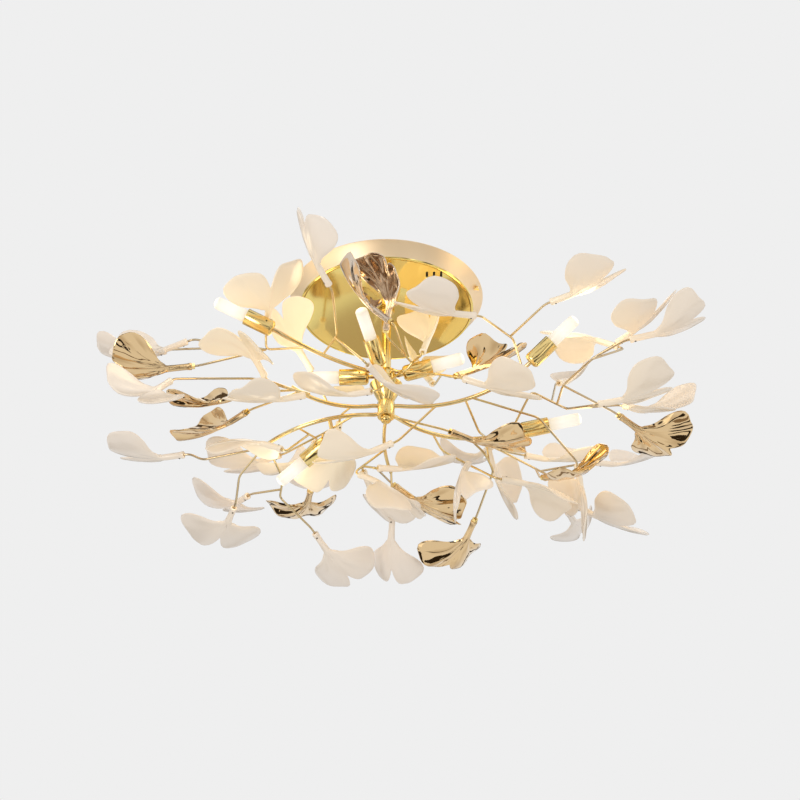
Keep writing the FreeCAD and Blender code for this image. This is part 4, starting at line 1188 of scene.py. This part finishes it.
class LEAFLIGHT_OT_bulbs(bpy.types.Operator):
    """Capsule lamps with round ends and two pins"""

    bl_idname = "leaf_light.bulbs"
    bl_label = "Capsule lamps"

    def execute(self, context):
        radius = sizes().bulb_dia / 2
        base, tip, sides, steps = 0.0303, 0.0803, 48, 10
        pin_reach, pin_radius = 0.004, 0.0007
        outline = [(0.0, base), (radius * 0.86, base), (radius * 0.94, base + 0.0006),
                   (radius * 0.94, base + 0.0075), (radius, base + 0.0095)]
        dome = radius * 0.62
        for step in range(steps + 1):
            angle = math.pi / 2 * step / steps
            outline.append((radius * math.cos(angle) if step < steps else 0.0,
                            tip - dome + dome * math.sin(angle)))
        forms = [turned(outline, sides)]
        marks = [(0.5, (height - base) / (tip - base)) for _, height in outline
                 for _ in range(sides)]
        for x in (-pin_reach, pin_reach):
            pin = [Vector((x, 0, base - 0.009)), Vector((x, 0, base + 0.0015))]
            forms.append(tube(pin, pin_radius, PIN_SIDES))
            marks += [(0.5, 0.0)] * (2 * PIN_SIDES)
        finish = glass_finish()
        for number in LAMPS:
            add_piece(f"capsule_{number}", placed(joined(forms), lamp_frame(number)), finish,
                      [f"bulb_{number}"], body=f"lamp_{number}", uv=marks)
        return {"FINISHED"}


# Stage

MIDDLE = Vector((0, 0, -0.15))
FLOOR_HEIGHT, FLOOR_RADIUS = -3.6, 5.0
SHADOW_HEIGHT, SHADOW_RADIUS = -0.0002, 0.1225
DARK, BROWN, PALE = (0.030, 0.022, 0.014), (0.26, 0.20, 0.14), (1.0, 0.98, 0.94)
CARD_REACH = 2.6
STREAK_CARDS = (  # bearing, tilt, width, height, colour, strength
    (-165, -22, 0.50, 2.2, DARK, 1.0), (-147, -20, 0.35, 2.0, BROWN, 1.0),
    (-128, -32, 0.30, 1.8, PALE, 1.5), (-112, -24, 0.40, 1.8, DARK, 1.0),
    (-68, -20, 0.40, 1.8, BROWN, 1.0), (-57, -26, 0.25, 1.6, PALE, 1.5),
    (-38, -28, 0.50, 2.0, DARK, 1.0), (-15, -24, 0.45, 2.0, BROWN, 1.0),
    (8, -30, 0.40, 2.0, DARK, 1.0), (40, -24, 0.60, 1.8, DARK, 1.0),
    (128, -26, 0.55, 1.8, DARK, 1.0), (152, -22, 0.40, 2.0, BROWN, 1.0),
    (173, -34, 0.35, 2.0, PALE, 1.3), (95, 9, 2.6, 0.30, DARK, 1.0),
    (84, 22, 2.4, 0.36, BROWN, 1.0), (98, 37, 2.4, 0.36, DARK, 1.0),
    (75, 50, 2.0, 0.30, PALE, 1.4), (80, 63, 2.2, 0.40, BROWN, 1.0),
    (105, -60, 1.8, 0.40, DARK, 1.0), (100, -12, 2.4, 0.20, BROWN, 1.0),
    (-98, 6, 1.5, 0.34, BROWN, 0.8), (-112, 60, 1.3, 0.60, DARK, 1.0),
    (158, -2, 0.5, 0.7, BROWN, 0.7), (140, 12, 0.5, 0.9, DARK, 1.0),
)
STUDIO_LIGHTS = (  # name, centre, width, power, colour, whether metal mirrors it
    ("key", (-1.3, -1.9, -1.0), 1.2, 14, (1.0, 0.98, 0.95), True),
    ("fill", (1.6, -1.4, -1.3), 1.4, 7, (1.0, 0.99, 0.97), False),
    ("top", (0.3, 0.4, 1.9), 1.6, 12, (1.0, 1.0, 1.0), False),
)
CAMERA_PLACE, CAMERA_RISE = (0.01755, -2.57877, -1.89935), 34
SENSOR_WIDTH, PICTURE_WIDTH, FOCAL_PIXELS = 36.0, 800, 2461.5


class LEAFLIGHT_OT_stage(bpy.types.Operator):
    """Pale floor and backdrop, soft lights and the camera"""

    bl_idname = "leaf_light.stage"
    bl_label = "Stage"

    def execute(self, context):
        scene = context.scene
        scene.view_settings.view_transform = "Standard"
        scene.world = make_world()
        make_floor()
        make_ceiling_shadow()
        make_cards()
        make_lights()
        scene.camera = make_camera()
        return {"FINISHED"}


def with_backdrop(g, kind, seen_share=1.0):
    """Shows the backdrop's colour where it is seen or mirrored; it lights nothing."""
    seen, mirrored, through = g.rays("Camera", "Glossy", "Transmission")
    share = (seen * seen_share).maths("MAXIMUM", mirrored).maths("MAXIMUM", through)
    return g.show_mix(share, Value(g, g.shader.outputs[0]),
                      g.node(kind, Color=colours().backdrop))


def make_world():
    g = Graph("studio", world=True)
    g.finish(Color=(1.0, 0.985, 0.96), Strength=0.62)
    return with_backdrop(g, "ShaderNodeBackground")


def stage_piece(name, form, material, *unseen_by):
    """A piece of the stage, which some kinds of ray pass by."""
    piece = new_object(name, form, material)
    for kind in unseen_by:
        setattr(piece, "visible_" + kind, False)
    return piece


def make_floor():
    """Pale round floor under the light; it is below the camera's view."""
    g = Graph("pale floor")
    g.finish(Base_Color=(0.80, 0.80, 0.80), Roughness=0.8)
    material = with_backdrop(g, "ShaderNodeEmission", 0.75)
    stage_piece("floor", polygon(96, FLOOR_RADIUS, FLOOR_RADIUS, FLOOR_HEIGHT), material)


def make_ceiling_shadow():
    """Shade under the ceiling, which the vents show; it is clear from above."""
    g = Graph("ceiling shadow")
    material = g.show_mix(g.position().output("Backfacing"),
                          g.node("ShaderNodeEmission", Color=(0.03, 0.022, 0.012)),
                          g.node("ShaderNodeBsdfTransparent"))
    form = polygon(64, SHADOW_RADIUS, -SHADOW_RADIUS, SHADOW_HEIGHT)
    stage_piece("ceiling_shadow", form, material, "glossy", "diffuse", "shadow")


def make_card(name, centre, aim, width, height, colour, strength, corners=4):
    """Card that only shows in reflections; with many corners it is round."""
    g = Graph(name)
    material = g.show(g.node("ShaderNodeEmission", Color=colour, Strength=strength))
    reach = 0.5 / math.cos(math.pi / corners)
    card = stage_piece(name, polygon(corners, width * reach, height * reach, start=0.5), material,
                       "camera", "diffuse", "shadow", "transmission")
    centre = Vector(centre)
    card.matrix_world = axis_frame(centre, centre - Vector(aim))


def make_cards():
    """Dark, brown and bright cards that give the polished metal its streaks."""
    make_card("dark_card_low", (0.0, -1.2, -2.2), MIDDLE, 2.6, 1.0, DARK, 1.0)
    make_card("dark_card_front", (0.4, -3.6, -2.3), MIDDLE, 2.2, 0.9, DARK, 1.0)
    make_card("dark_card_top", (-0.4, 0.9, 2.2), MIDDLE, 1.6, 1.0, BROWN, 0.4)
    make_card("shade_in_canopy", (-0.004, 1.745, -1.2), (-0.004, 1.745, 0.0), 0.35, 0.35,
              (0.48, 0.40, 0.36), 1.0, corners=48)
    for number, (bearing, tilt, *look) in enumerate(STREAK_CARDS):
        centre = direction(bearing, tilt) * CARD_REACH
        make_card(f"streak_card_{number}", centre, MIDDLE, *look)


def new_light(name, kind, power, colour, place):
    light = bpy.data.lights.new(name, kind)
    light.energy, light.color = power, colour
    lamp = bpy.data.objects.new(name, light)
    bpy.context.scene.collection.objects.link(lamp)
    lamp.matrix_world = place
    return lamp


def make_lights():
    for name, centre, width, power, colour, mirrored in STUDIO_LIGHTS:
        centre = Vector(centre)
        lamp = new_light(name, "AREA", power, colour, axis_frame(centre, centre - MIDDLE))
        lamp.data.shape = "DISK"
        lamp.data.size = width
        lamp.visible_glossy = mirrored
    for number in LAMPS:
        place = lamp_frame(number) @ Matrix.Translation((0, 0, LAMPLIGHT_REACH))
        lamp = new_light("filament_" + number, "POINT", 0.10, (1.0, 0.80, 0.50), place)
        lamp.data.shadow_soft_size = 0.03


def make_camera():
    """Camera at the photographer's place: 34 degrees below the light."""
    data = bpy.data.cameras.new("camera")
    data.sensor_width = SENSOR_WIDTH
    data.lens = SENSOR_WIDTH * FOCAL_PIXELS / PICTURE_WIDTH
    data.clip_end = 50
    camera = bpy.data.objects.new("camera", data)
    bpy.context.scene.collection.objects.link(camera)
    camera.matrix_world = axis_frame(Vector(CAMERA_PLACE), -direction(90, CAMERA_RISE))
    return camera


# Panel and run

OPERATORS = (
    LEAFLIGHT_OT_canopy,
    LEAFLIGHT_OT_mounting,
    LEAFLIGHT_OT_stem,
    LEAFLIGHT_OT_hub,
    LEAFLIGHT_OT_branches,
    LEAFLIGHT_OT_white_leaves,
    LEAFLIGHT_OT_gold_leaves,
    LEAFLIGHT_OT_lamp_cups,
    LEAFLIGHT_OT_grub_screws,
    LEAFLIGHT_OT_lamp_sockets,
    LEAFLIGHT_OT_bulbs,
    LEAFLIGHT_OT_stage,
)


class LEAFLIGHT_PT_panel(bpy.types.Panel):
    """Lists the pieces of the light"""

    bl_idname = "LEAFLIGHT_PT_panel"
    bl_label = "Leaf light"
    bl_space_type = "VIEW_3D"
    bl_region_type = "UI"
    bl_category = "Leaf light"

    def draw(self, context):
        for group in (context.scene.leaf_light_sizes, context.scene.leaf_light_colours):
            for name in group.__annotations__:
                self.layout.prop(group, name)
        for operator in OPERATORS:
            self.layout.operator(operator.bl_idname)


CLASSES = (LightSizes, LightColours, *OPERATORS, LEAFLIGHT_PT_panel)


def register():
    for item in CLASSES:
        bpy.utils.register_class(item)
    bpy.types.Scene.leaf_light_sizes = PointerProperty(type=LightSizes)
    bpy.types.Scene.leaf_light_colours = PointerProperty(type=LightColours)


def unregister():
    del bpy.types.Scene.leaf_light_colours
    del bpy.types.Scene.leaf_light_sizes
    for item in reversed(CLASSES):
        bpy.utils.unregister_class(item)


def main():
    register()
    for operator in OPERATORS:
        group, name = operator.bl_idname.split(".")
        result = getattr(getattr(bpy.ops, group), name)()
        if result != {"FINISHED"}:
            raise RuntimeError(f"{operator.bl_label} was not made")
    bpy.context.view_layer.update()


if __name__ == "__main__":
    main()
